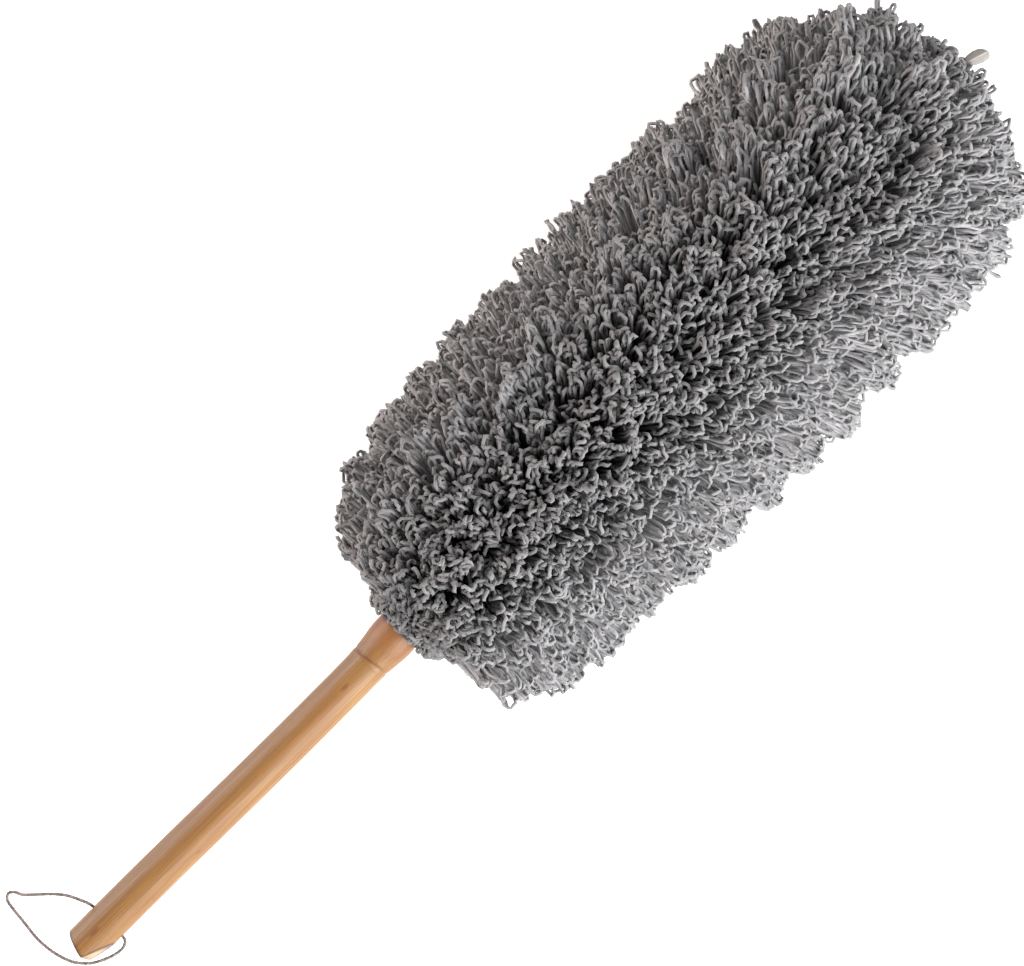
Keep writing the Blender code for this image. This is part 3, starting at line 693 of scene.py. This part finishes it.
def clump_caps(ring, rng):
    """The cushions that one ring of clumps ends on, each point with its root on the backing."""
    count = min(24 - ring % 2, int(math.tau * float(outline_point(ring + 0.5)[1]) / CLUMP_WIDTH))
    steps = np.linspace(-1, 1, CUSHION_POINTS)
    along, across = [grid.ravel() for grid in np.meshgrid(steps, steps, indexing="ij")]
    depth = CUSHION_DEPTH * (0.62 * np.abs(along) ** 3 + 0.38 * np.abs(across) ** 3) ** 0.9
    half = math.pi / count
    pitch = (BACKING_END - BACKING_START) / PILE_ROWS
    spots, roots = [], []
    for k in range(count):
        middle = -math.pi / 2 + 2 * half * k
        sideways, endways = rng.uniform(-0.12, 0.12), rng.uniform(-0.06, 0.06)
        x, radius = outline_point(ring + 0.5 + 0.5 * (0.94 * along + endways))
        angle = middle + half * (0.94 * across + sideways)
        # Both shoulders stand fuller on the right, and the pile falls back on the left of the tab
        right, left = np.clip(-np.cos(angle), 0, 1), np.clip(np.cos(angle), 0, 1)
        radius = radius + SHOULDER_RISE * right * (near(x, 0.038, 0.030) + near(x, 0.338, 0.024))
        radius = radius - TIP_FALL * left * near(x, 0.372, 0.008)
        spread = (0.42 if ring >= 0 else 0.1) * along
        root_x = BACKING_START + max(ring + 0.5, 0.12) * pitch + spread * pitch
        root_angle = middle + 0.8 * half * across
        outer = np.stack([x, radius * np.cos(angle), radius * np.sin(angle)], axis=1)
        inner = np.stack(
            [root_x, BACKING_RADIUS * np.cos(root_angle), BACKING_RADIUS * np.sin(root_angle)], axis=1
        )
        way = outer - inner
        length = np.linalg.norm(way, axis=1, keepdims=True)
        lift = rng.uniform(-0.009, 0.0) if rng.random() < 0.5 else rng.uniform(-0.002, 0.0008)
        fall = (depth[:, None] - lift) * np.minimum(1, length / FREE_LENGTH)
        spots.append(inner + way * (1 - fall / length))
        roots.append(inner)
    return spots, roots


def caps_mesh(name, row):
    """The cushions of one row. The first row also has the clumps of the face towards the handle."""
    rng = np.random.default_rng(700 + row)
    spots, roots = clump_caps(row, rng)
    if row == 0:
        more_spots, more_roots = clump_caps(-1, rng)
        spots += more_spots
        roots += more_roots
    faces = []
    size = CUSHION_POINTS
    for k in range(len(spots)):
        for i in range(size - 1):
            for j in range(size - 1):
                a = (k * size + i) * size + j
                faces.append((a, a + 1, a + size + 1, a + size))
    centre = np.array([HEAD_X, 0, AXIS_HEIGHT])
    mesh = bpy.data.meshes.new(name)
    mesh.from_pydata([tuple(p) for p in np.vstack(spots) + centre], [], faces)
    attribute = mesh.attributes.new("root", "FLOAT_VECTOR", "POINT")
    attribute.data.foreach_set("vector", (np.vstack(roots) + centre).astype(np.float32).ravel())
    return mesh


def own_vector(tree, name):
    made = add_node(
        tree, "GeometryNodeInputNamedAttribute", {"Name": name}, data_type="FLOAT_VECTOR"
    )
    return made.outputs["Attribute"]


def own_number(tree, name, kind="FLOAT"):
    made = add_node(tree, "GeometryNodeInputNamedAttribute", {"Name": name}, data_type=kind)
    return made.outputs["Attribute"]


def stored(tree, geometry, name, value, kind="FLOAT"):
    made = add_node(
        tree,
        "GeometryNodeStoreNamedAttribute",
        {"Geometry": geometry, "Name": name, "Value": value},
        data_type=kind,
        domain="POINT",
    )
    return made.outputs["Geometry"]


def clouded_vector(tree, where, size, most):
    """A smooth random vector that changes over about the given size."""
    noise = add_node(
        tree,
        "ShaderNodeTexNoise",
        {"Vector": where, "Scale": calc(tree, "DIVIDE", 1.0, size), "Detail": 1.0},
    ).outputs["Color"]
    centred = vector_calc(tree, "SUBTRACT", noise, (0.5, 0.5, 0.5))
    return vector_calc(tree, "SCALE", centred, calc(tree, "MULTIPLY", most, 2.0))


def random_number(tree, identity, seed, low=0.0, high=1.0):
    return add_node(
        tree,
        "FunctionNodeRandomValue",
        {2: low, 3: high, "ID": identity, "Seed": seed},
        data_type="FLOAT",
    ).outputs[1]


def random_way(tree, identity, seed):
    return add_node(
        tree,
        "FunctionNodeRandomValue",
        {0: (-1.0, -1.0, -1.0), 1: (1.0, 1.0, 1.0), "ID": identity, "Seed": seed},
        data_type="FLOAT_VECTOR",
    ).outputs[0]


loop_tree = bpy.data.node_groups.new("looped_pile", "GeometryNodeTree")
tree = loop_tree
tree.interface.new_socket("Geometry", in_out="INPUT", socket_type="NodeSocketGeometry")
for label, kind, value in (
    ("Loop Spacing", "NodeSocketFloat", 0.0023),
    ("Seed", "NodeSocketInt", 1),
    ("Yarn Radius", "NodeSocketFloat", 0.00088),
    ("Loop Width", "NodeSocketFloat", 0.0033),
    ("Lean", "NodeSocketFloat", 0.017),
    ("Lean Size", "NodeSocketFloat", 0.020),
    ("Stray", "NodeSocketFloat", 0.0035),
    ("Shortfall", "NodeSocketFloat", 0.0085),
    ("Curl", "NodeSocketFloat", 0.0062),
    ("Curl Size", "NodeSocketFloat", 0.0055),
    ("Kink", "NodeSocketFloat", 0.0030),
    ("Kink Size", "NodeSocketFloat", 0.0042),
    ("Loop Points", "NodeSocketInt", 12),
    ("Floor", "NodeSocketFloat", 0.0),
    ("Material", "NodeSocketMaterial", None),
):
    socket = tree.interface.new_socket(label, in_out="INPUT", socket_type=kind)
    if value is not None:
        socket.default_value = value
tree.interface.new_socket("Geometry", in_out="OUTPUT", socket_type="NodeSocketGeometry")
given = tree.nodes.new("NodeGroupInput").outputs

# One point for each loop, on the cushions, with the place of its tip and its own random values
spread = add_node(
    tree,
    "GeometryNodeDistributePointsOnFaces",
    {
        "Mesh": given["Geometry"],
        "Distance Min": given["Loop Spacing"],
        "Density Max": 400000.0,
        "Seed": given["Seed"],
    },
    distribute_method="POISSON",
)
spots = spread.outputs["Points"]
here = add_node(tree, "GeometryNodeInputPosition").outputs[0]
root = own_vector(tree, "root")
number = add_node(tree, "GeometryNodeInputIndex").outputs[0]
lean = clouded_vector(tree, here, given["Lean Size"], given["Lean"])
stray = vector_calc(tree, "SCALE", random_way(tree, number, given["Seed"]), given["Stray"])
full_length = vector_calc(tree, "DISTANCE", here, root)
freedom = calc(tree, "MINIMUM", 1.0, calc(tree, "DIVIDE", full_length, FREE_LENGTH))
swerve = vector_calc(tree, "SCALE", vector_calc(tree, "ADD", lean, stray), freedom)
aim = vector_calc(tree, "ADD", here, swerve)
way = vector_calc(tree, "NORMALIZE", vector_calc(tree, "SUBTRACT", aim, root))
short = calc(tree, "MULTIPLY", calc(tree, "POWER", random_number(tree, number, 31), 1.5), given["Shortfall"])
most = calc(tree, "MULTIPLY", full_length, 0.3)
length = calc(tree, "SUBTRACT", full_length, calc(tree, "MINIMUM", short, most))
tip = vector_calc(tree, "ADD", root, vector_calc(tree, "SCALE", way, length))
across = vector_calc(
    tree, "NORMALIZE", vector_calc(tree, "CROSS_PRODUCT", way, random_way(tree, number, 77))
)
spots = stored(tree, spots, "tip", tip, "FLOAT_VECTOR")
spots = stored(tree, spots, "facing", way, "FLOAT_VECTOR")
spots = stored(tree, spots, "across", across, "FLOAT_VECTOR")
spots = stored(tree, spots, "shade", random_number(tree, number, 5))
spots = stored(tree, spots, "full", full_length)
spots = stored(tree, spots, "freedom", freedom)
spots = stored(tree, spots, "loop", number, "INT")

# A run of points for each loop: up one leg, over the tip and down the other
copies = add_node(
    tree,
    "GeometryNodeDuplicateElements",
    {"Geometry": spots, "Amount": given["Loop Points"]},
    domain="POINT",
)
step = copies.outputs["Duplicate Index"]
last = calc(tree, "SUBTRACT", given["Loop Points"], 1.0)
signed = calc(tree, "SUBTRACT", calc(tree, "MULTIPLY", calc(tree, "DIVIDE", step, last), 2.0), 1.0)
down = calc(tree, "ABSOLUTE", signed)
drop = calc(
    tree,
    "ADD",
    calc(tree, "MULTIPLY", calc(tree, "POWER", down, 2.0), 0.28),
    calc(tree, "MULTIPLY", calc(tree, "POWER", down, 6.0), 0.72),
)
rise = calc(tree, "SUBTRACT", 1.0, drop)
bulge = calc(tree, "SINE", calc(tree, "MULTIPLY", calc(tree, "POWER", down, 0.75), 2.6))
bulge = calc(tree, "MULTIPLY", calc(tree, "MULTIPLY", bulge, calc(tree, "SIGN", signed)), 0.5)
tip = own_vector(tree, "tip")
root = own_vector(tree, "root")
way = own_vector(tree, "facing")
across = own_vector(tree, "across")
leg = vector_calc(tree, "SCALE", vector_calc(tree, "SUBTRACT", tip, root), rise)
openness = random_number(tree, own_number(tree, "loop", "INT"), 53, 0.5, 1.5)
width = calc(tree, "MULTIPLY", openness, given["Loop Width"])
apart = vector_calc(tree, "SCALE", across, calc(tree, "MULTIPLY", bulge, width))
spot = vector_calc(tree, "ADD", root, vector_calc(tree, "ADD", leg, apart))

# The yarn's upper part bends over to one side, together with its neighbours, and sinks as it does
curl = clouded_vector(tree, tip, given["Curl Size"], given["Curl"])
curl = vector_calc(tree, "SCALE", curl, own_number(tree, "freedom"))
outward = calc(tree, "MULTIPLY", vector_calc(tree, "DOT_PRODUCT", curl, way), -1.0)
curl = vector_calc(tree, "ADD", curl, vector_calc(tree, "SCALE", way, outward))
sunk = calc(tree, "MULTIPLY", vector_calc(tree, "LENGTH", curl), -0.45)
curl = vector_calc(tree, "ADD", curl, vector_calc(tree, "SCALE", way, sunk))
upper = add_node(
    tree, "ShaderNodeMapRange", {"Value": rise, "From Min": 0.70, "From Max": 1.0}
).outputs[0]
bend = calc(tree, "POWER", upper, 1.6)
spot = vector_calc(tree, "ADD", spot, vector_calc(tree, "SCALE", curl, bend))
shift = vector_calc(tree, "SCALE", across, 0.02)
kink = clouded_vector(
    tree, vector_calc(tree, "ADD", spot, shift), given["Kink Size"], given["Kink"]
)
spot = vector_calc(tree, "ADD", spot, vector_calc(tree, "SCALE", kink, rise))
split = add_node(tree, "ShaderNodeSeparateXYZ", {"Vector": spot}).outputs
least = calc(tree, "ADD", given["Floor"], given["Yarn Radius"])
spot = add_node(
    tree,
    "ShaderNodeCombineXYZ",
    {"X": split["X"], "Y": split["Y"], "Z": calc(tree, "MAXIMUM", split["Z"], least)},
).outputs[0]
placed = add_node(
    tree, "GeometryNodeSetPosition", {"Geometry": copies.outputs["Geometry"], "Position": spot}
).outputs[0]
placed = stored(tree, placed, "reach", rise)
# How deep each point lies below its cushion and below its loop's tip, which the yarn's painted shade reads
below = calc(tree, "SUBTRACT", own_number(tree, "full"), vector_calc(tree, "LENGTH", leg))
placed = stored(tree, placed, "depth", below)
below_tip = calc(tree, "MULTIPLY", vector_calc(tree, "DISTANCE", tip, root), drop)
placed = stored(tree, placed, "below_tip", below_tip)

# A soft, slightly lumpy yarn along each loop, thinner where it is packed at the roots
loops = add_node(
    tree,
    "GeometryNodePointsToCurves",
    {"Points": placed, "Curve Group ID": own_number(tree, "loop", "INT"), "Weight": step},
).outputs[0]
ring = add_node(tree, "GeometryNodeCurvePrimitiveCircle", {"Resolution": 3, "Radius": 1.12}).outputs[0]
packed = calc(
    tree, "ADD", 0.35, calc(tree, "MULTIPLY", 0.65, calc(tree, "POWER", own_number(tree, "reach"), 0.7))
)
tubes = add_node(
    tree,
    "GeometryNodeCurveToMesh",
    {
        "Curve": loops,
        "Profile Curve": ring,
        "Scale": calc(tree, "MULTIPLY", given["Yarn Radius"], packed),
    },
).outputs[0]
for spent in ("tip", "across", "loop", "root", "full", "freedom", "reach"):
    tubes = add_node(
        tree, "GeometryNodeRemoveAttribute", {"Geometry": tubes, "Name": spent}
    ).outputs[0]
tubes = add_node(tree, "GeometryNodeSetShadeSmooth", {"Geometry": tubes}).outputs[0]
real = add_node(tree, "GeometryNodeRealizeInstances", {"Geometry": tubes}).outputs[0]
done = add_node(
    tree, "GeometryNodeSetMaterial", {"Geometry": real, "Material": given["Material"]}
).outputs[0]
tree.links.new(done, tree.nodes.new("NodeGroupOutput").inputs[0])

# Grey yarn with painted shade: darker deep in the pile, where shade falls. Loops that point up get painted
# shade on their legs and a little all over, and loops on the sides get painted light on their legs, where the
# light comes in between them.
yarn, tree, shader = new_material("yarn", 0.95)
shader["Sheen Weight"].default_value = 0.35
shader["Sheen Roughness"].default_value = 0.6
patches = use_group(tree, mottle, Grain_Size=0.012)["Mask"]
tone = calc(
    tree, "ADD", calc(tree, "MULTIPLY", own_value(tree, "shade"), 0.6), calc(tree, "MULTIPLY", patches, 0.4)
)
tint = mixed(tree, tone, srgb(114, 113, 116), srgb(150, 148, 149))
painted_pile_shade = ramp(tree, own_value(tree, "depth"), 0.0015, 0.0200)
painted_pile_shade = calc(tree, "POWER", painted_pile_shade, 0.8)
facing = add_node(tree, "ShaderNodeAttribute", attribute_name="facing").outputs["Vector"]
upward = ramp(tree, add_node(tree, "ShaderNodeSeparateXYZ", {"Vector": facing}).outputs["Z"], 0.68, 0.97)
# Painted shade on the legs of loops that point up, and painted light on the legs of loops on the sides
painted_leg_shade = ramp(tree, own_value(tree, "below_tip"), 0.0002, 0.0060)
painted_leg_light = ramp(tree, own_value(tree, "below_tip"), 0.0008, 0.0070)
painted_leg_light = calc(tree, "MULTIPLY", painted_leg_light, calc(tree, "SUBTRACT", 1.0, upward))
tint = mixed(tree, painted_leg_light, tint, srgb(194, 192, 194))
painted_leg_shade = calc(tree, "MULTIPLY", calc(tree, "MULTIPLY", painted_leg_shade, upward), 0.9)
painted_pile_shade = calc(tree, "MULTIPLY", painted_pile_shade, calc(tree, "ADD", 0.12, calc(tree, "MULTIPLY", upward, 0.88)))
painted_pile_shade = calc(tree, "MAXIMUM", calc(tree, "MAXIMUM", painted_pile_shade, painted_leg_shade), calc(tree, "MULTIPLY", upward, 0.16))
tree.links.new(mixed(tree, painted_pile_shade, tint, srgb(56, 56, 60)), shader["Base Color"])
facing = add_node(
    tree,
    "ShaderNodeVectorTransform",
    {"Vector": facing},
    vector_type="NORMAL",
    convert_from="OBJECT",
    convert_to="WORLD",
).outputs[0]
own_normal = add_node(tree, "ShaderNodeNewGeometry").outputs["Normal"]
soft_normal = vector_calc(
    tree,
    "NORMALIZE",
    vector_calc(
        tree, "ADD", vector_calc(tree, "SCALE", facing, 0.15), vector_calc(tree, "SCALE", own_normal, 0.85)
    ),
)
fluff = use_group(tree, mottle, Grain_Size=0.0006)["Mask"]
bump = rough_relief(tree, shader, fluff, 0.0003, 0.5)
tree.links.new(soft_normal, bump.inputs["Normal"])

# Each row's loops grow on its cushions, and only their mesh is kept
for row in range(PILE_ROWS):
    name = f"pile_loops_{row + 1:02d}"
    cushions = bpy.data.objects.new(name + "_cushions", caps_mesh(name + "_cushions", row))
    bpy.context.scene.collection.objects.link(cushions)
    modifier = cushions.modifiers.new("grow", "NODES")
    modifier.node_group = loop_tree
    for item in loop_tree.interface.items_tree:
        if item.name == "Seed":
            modifier[item.identifier] = 11 + row
        elif item.name == "Material":
            modifier[item.identifier] = yarn
    shown = cushions.evaluated_get(bpy.context.evaluated_depsgraph_get())
    mesh = bpy.data.meshes.new_from_object(shown)
    mesh.name = name
    base = cushions.data
    bpy.data.objects.remove(cushions)
    bpy.data.meshes.remove(base)
    piece = bpy.data.objects.new(name, mesh)
    bpy.context.scene.collection.objects.link(piece)
    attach(piece, "sleeve")
    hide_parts(f"pile_row_{row + 1:02d}")

# Gathered end of the sleeve
# The knitted cloth is gathered into a small pleated disc, which shuts the sleeve past the end of the core.
CLOSURE_AT = 0.366
CLOSURE_RADIUS = 0.0111

turn = np.linspace(0, math.tau, 96, endpoint=False)
rings = []
for offset, radius in (
    (-0.0010, 0.0012),
    (-0.00095, 0.0040),
    (-0.00085, 0.0075),
    (-0.0007, 0.0100),
    (-0.0003, 0.0109),
    (0.0003, 0.0109),
    (0.0007, 0.0100),
    (0.00085, 0.0075),
    (0.00095, 0.0040),
    (0.0010, 0.0012),
):
    pleat = 0.00013 * np.sin(16 * turn) * (radius / CLOSURE_RADIUS)
    x = HEAD_X + CLOSURE_AT + offset * 0.85 + np.sign(offset) * pleat
    edge = radius + 0.00010 * np.cos(16 * turn)
    rings.append(np.column_stack([x, edge * np.cos(turn), edge * np.sin(turn) + AXIS_HEIGHT]))
piece_of(
    "gathered_end",
    ring_mesh("gathered_end", rings),
    knit,
    "sleeve",
    "backing",
    "sleeve_closure",
)

# Folded tab
# A short woven tape is folded lengthwise, sewn at its waist into the closed end of the sleeve, and stands out
# of the pile. Its two halves bulge a little on both sides of the fold, and it leans to one side.
TAB_ROOT = 0.3673
TAB_WAIST_AT = 0.3770
TAB_END = 0.3885
TAB_THICKNESS = 0.0014
TAB_BEND_AT = 0.3735
TAB_LEAN = 0.0046
WAIST_SHIFT = (-0.0010, -0.0007)

woven, tree, shader = new_material("woven_tape", 0.88)
shader["Sheen Weight"].default_value = 0.2
threads = use_group(tree, cloth, Pitch_Along=0.00045, Pitch_Round=0.00055, Chevron=0.5)["Height"]
cloud = use_group(tree, mottle, Grain_Size=0.0018)["Mask"]
tint = mixed(tree, threads, srgb(122, 117, 113), srgb(172, 168, 163))
tint = mixed(tree, calc(tree, "MULTIPLY", cloud, 0.35), tint, srgb(140, 133, 127))
# Painted highlight: a pale line along the ridge of the fold, where the light catches the crease.
fold_highlight = own_value(tree, "fold_highlight")
tint = mixed(tree, fold_highlight, tint, srgb(192, 184, 182))
tree.links.new(tint, shader["Base Color"])
rough_relief(tree, shader, threads, 0.0002)

stations = np.linspace(TAB_ROOT, TAB_END, 46)
widths = np.interp(
    stations,
    [TAB_ROOT, 0.3735, TAB_WAIST_AT, 0.3785, 0.3805, 0.3835, 0.3862, 0.3877, TAB_END],
    [0.0024, 0.0021, 0.0020, 0.0025, 0.0032, 0.0037, 0.00345, 0.0026, 0.0013],
)
roofs = np.interp(
    stations, [TAB_ROOT, TAB_WAIST_AT, 0.3805, 0.3862, TAB_END], [0.0003, 0.0003, 0.0010, 0.0010, 0.0005]
)
share = np.linspace(-1, 1, 23)
rings, fold_highlight_values = [], []
for x, width, roof in zip(stations, widths, roofs):
    swell = min(1.0, (width - 0.0012) / 0.0020)
    plump = 0.00042 * swell * np.abs(np.sin(math.pi * share)) ** 0.8
    thick = TAB_THICKNESS / 2 * (1 - np.abs(share) ** 6 * 0.55)
    thick = thick * min(1.0, (TAB_END - x) / 0.0010 * 0.6 + 0.4)
    middle = roof * (1 - 2 * np.abs(share) ** 1.2) - TAB_THICKNESS / 2
    crease = 0.00022 * near(share, 0, 0.10)
    top = np.column_stack([share * width, middle + thick + plump * 0.5 + crease])
    low = np.column_stack([share * width, middle - thick - plump * 0.35])[::-1]
    edge = np.array([[1.03 * width, middle[-1]]])
    other = np.array([[-1.03 * width, middle[0]]])
    section = np.vstack([top, edge, low, other])
    leaning = section[:, 0] - TAB_LEAN * max(0.0, (x - TAB_BEND_AT) / (TAB_END - TAB_BEND_AT))
    rings.append(np.column_stack([np.full(len(section), HEAD_X + x), leaning, section[:, 1] + AXIS_HEIGHT]))
    # The fold's painted highlight: full on the ridge above, a third as strong below.
    mark = np.concatenate([near(share, 0, 0.10), [0], near(share, 0, 0.10)[::-1] * 0.3, [0]])
    fold_highlight_values.append(mark * swell)
mesh = ring_mesh("folded_tab", rings)
values = np.append(np.array(fold_highlight_values).ravel(), [0, 0]).astype(np.float32)
mesh.attributes.new("fold_highlight", "FLOAT", "POINT").data.foreach_set("value", values)
piece_of("folded_tab", mesh, woven, "sleeve", "tape", "tip_tab")

# Tab stitching
# Dark thread is wound six times round the waist of the tab and once across, which draws the fold together.
thread, tree, shader = new_material("sewing_thread", 0.8)
shader["Sheen Weight"].default_value = 0.2
twist = use_group(tree, mottle, Grain_Size=0.0004)["Mask"]
tree.links.new(mixed(tree, twist, srgb(58, 50, 48), srgb(104, 94, 90)), shader["Base Color"])
rough_relief(tree, shader, twist, 0.0001)

wound = np.linspace(0, 1, 260)
turn = math.tau * 6 * wound
winding = np.stack(
    [
        HEAD_X + TAB_WAIST_AT - 0.0009 + 0.0019 * wound + 0.00012 * np.sin(3 * turn),
        0.0030 * np.cos(turn) + 0.0002 * np.sin(11 * wound) + WAIST_SHIFT[0],
        0.0017 * np.sin(turn) + WAIST_SHIFT[1] + AXIS_HEIGHT,
    ],
    axis=1,
)
cross_turn = np.linspace(0, 0.94 * math.tau, 60)
crossing = np.stack(
    [
        HEAD_X + TAB_WAIST_AT + 0.0011 * np.cos(cross_turn),
        0.0031 * np.cos(cross_turn + 0.5) + WAIST_SHIFT[0],
        0.0021 * np.sin(cross_turn + 0.5) + WAIST_SHIFT[1] + AXIS_HEIGHT,
    ],
    axis=1,
)
whole = np.vstack([winding, crossing])
piece_of(
    "tab_winding",
    ring_mesh("tab_winding", cord_rings(whole, 0.00027, 8, lay=0.0014)),
    thread,
    "sleeve",
    "thread",
    "tab_stitching",
)

# Studio
# The camera looks straight down and is turned by 45 degrees, on a plain white floor.
# A wide soft light comes from the handle's right-hand side, with a weak warm one opposite.
VIEW_WIDTH = 0.4802
VIEW_CENTRE = Vector((-0.00105, 0.01078, AXIS_HEIGHT))

camera_data = bpy.data.cameras.new("camera")
camera_data.lens = 100
camera_data.sensor_width = 36
camera = bpy.data.objects.new("camera", camera_data)
bpy.context.scene.collection.objects.link(camera)
distance = VIEW_WIDTH * camera_data.lens / camera_data.sensor_width
camera.location = VIEW_CENTRE + Vector((0, 0, distance))
camera.rotation_euler = (0, 0, math.atan2(-0.70872, 0.70549))
bpy.context.scene.camera = camera

floor_mesh = bpy.data.meshes.new("floor")
bm = bmesh.new()
bmesh.ops.create_grid(bm, x_segments=1, y_segments=1, size=6)
bm.to_mesh(floor_mesh)
bm.free()
floor = bpy.data.objects.new("floor", floor_mesh)
bpy.context.scene.collection.objects.link(floor)
paper, tree, shader = new_material("paper", 0.9)
shader["Base Color"].default_value = (0.80, 0.80, 0.80, 1)
light_path = add_node(tree, "ShaderNodeLightPath").outputs
seen = calc(tree, "MAXIMUM", light_path["Is Camera Ray"], light_path["Is Glossy Ray"])
seen = calc(tree, "MAXIMUM", seen, light_path["Is Transmission Ray"])
glow = add_node(
    tree, "ShaderNodeEmission", {"Color": (1, 1, 1, 1), "Strength": calc(tree, "MULTIPLY", seen, 0.55)}
)
both = add_node(
    tree, "ShaderNodeAddShader", {0: tree.nodes["Principled BSDF"].outputs[0], 1: glow.outputs[0]}
)
tree.links.new(both.outputs[0], tree.nodes["Material Output"].inputs["Surface"])
floor_mesh.materials.append(paper)

world = bpy.data.worlds.new("studio")
bpy.context.scene.world = world
world.use_nodes = True
world.node_tree.nodes["Background"].inputs["Color"].default_value = (1, 1, 1, 1)
world.node_tree.nodes["Background"].inputs["Strength"].default_value = 0.41

for name, place, wide, high, power, colour in (
    ("key", (0.25, -1.25, 0.96), 1.7, 1.4, 62.0, (1.0, 1.0, 1.0)),
    ("fill", (-0.45, 1.35, 0.55), 1.3, 1.0, 25.0, (1.0, 0.89, 0.82)),
):
    data = bpy.data.lights.new(name, "AREA")
    data.shape = "RECTANGLE"
    data.size = wide
    data.size_y = high
    data.energy = power
    data.color = colour
    lamp = bpy.data.objects.new(name, data)
    bpy.context.scene.collection.objects.link(lamp)
    lamp.location = place
    lamp.rotation_mode = "QUATERNION"
    lamp.rotation_quaternion = (Vector((0, 0, 0.08)) - Vector(place)).to_track_quat("-Z", "Y")

bpy.context.scene.view_settings.view_transform = "Standard"
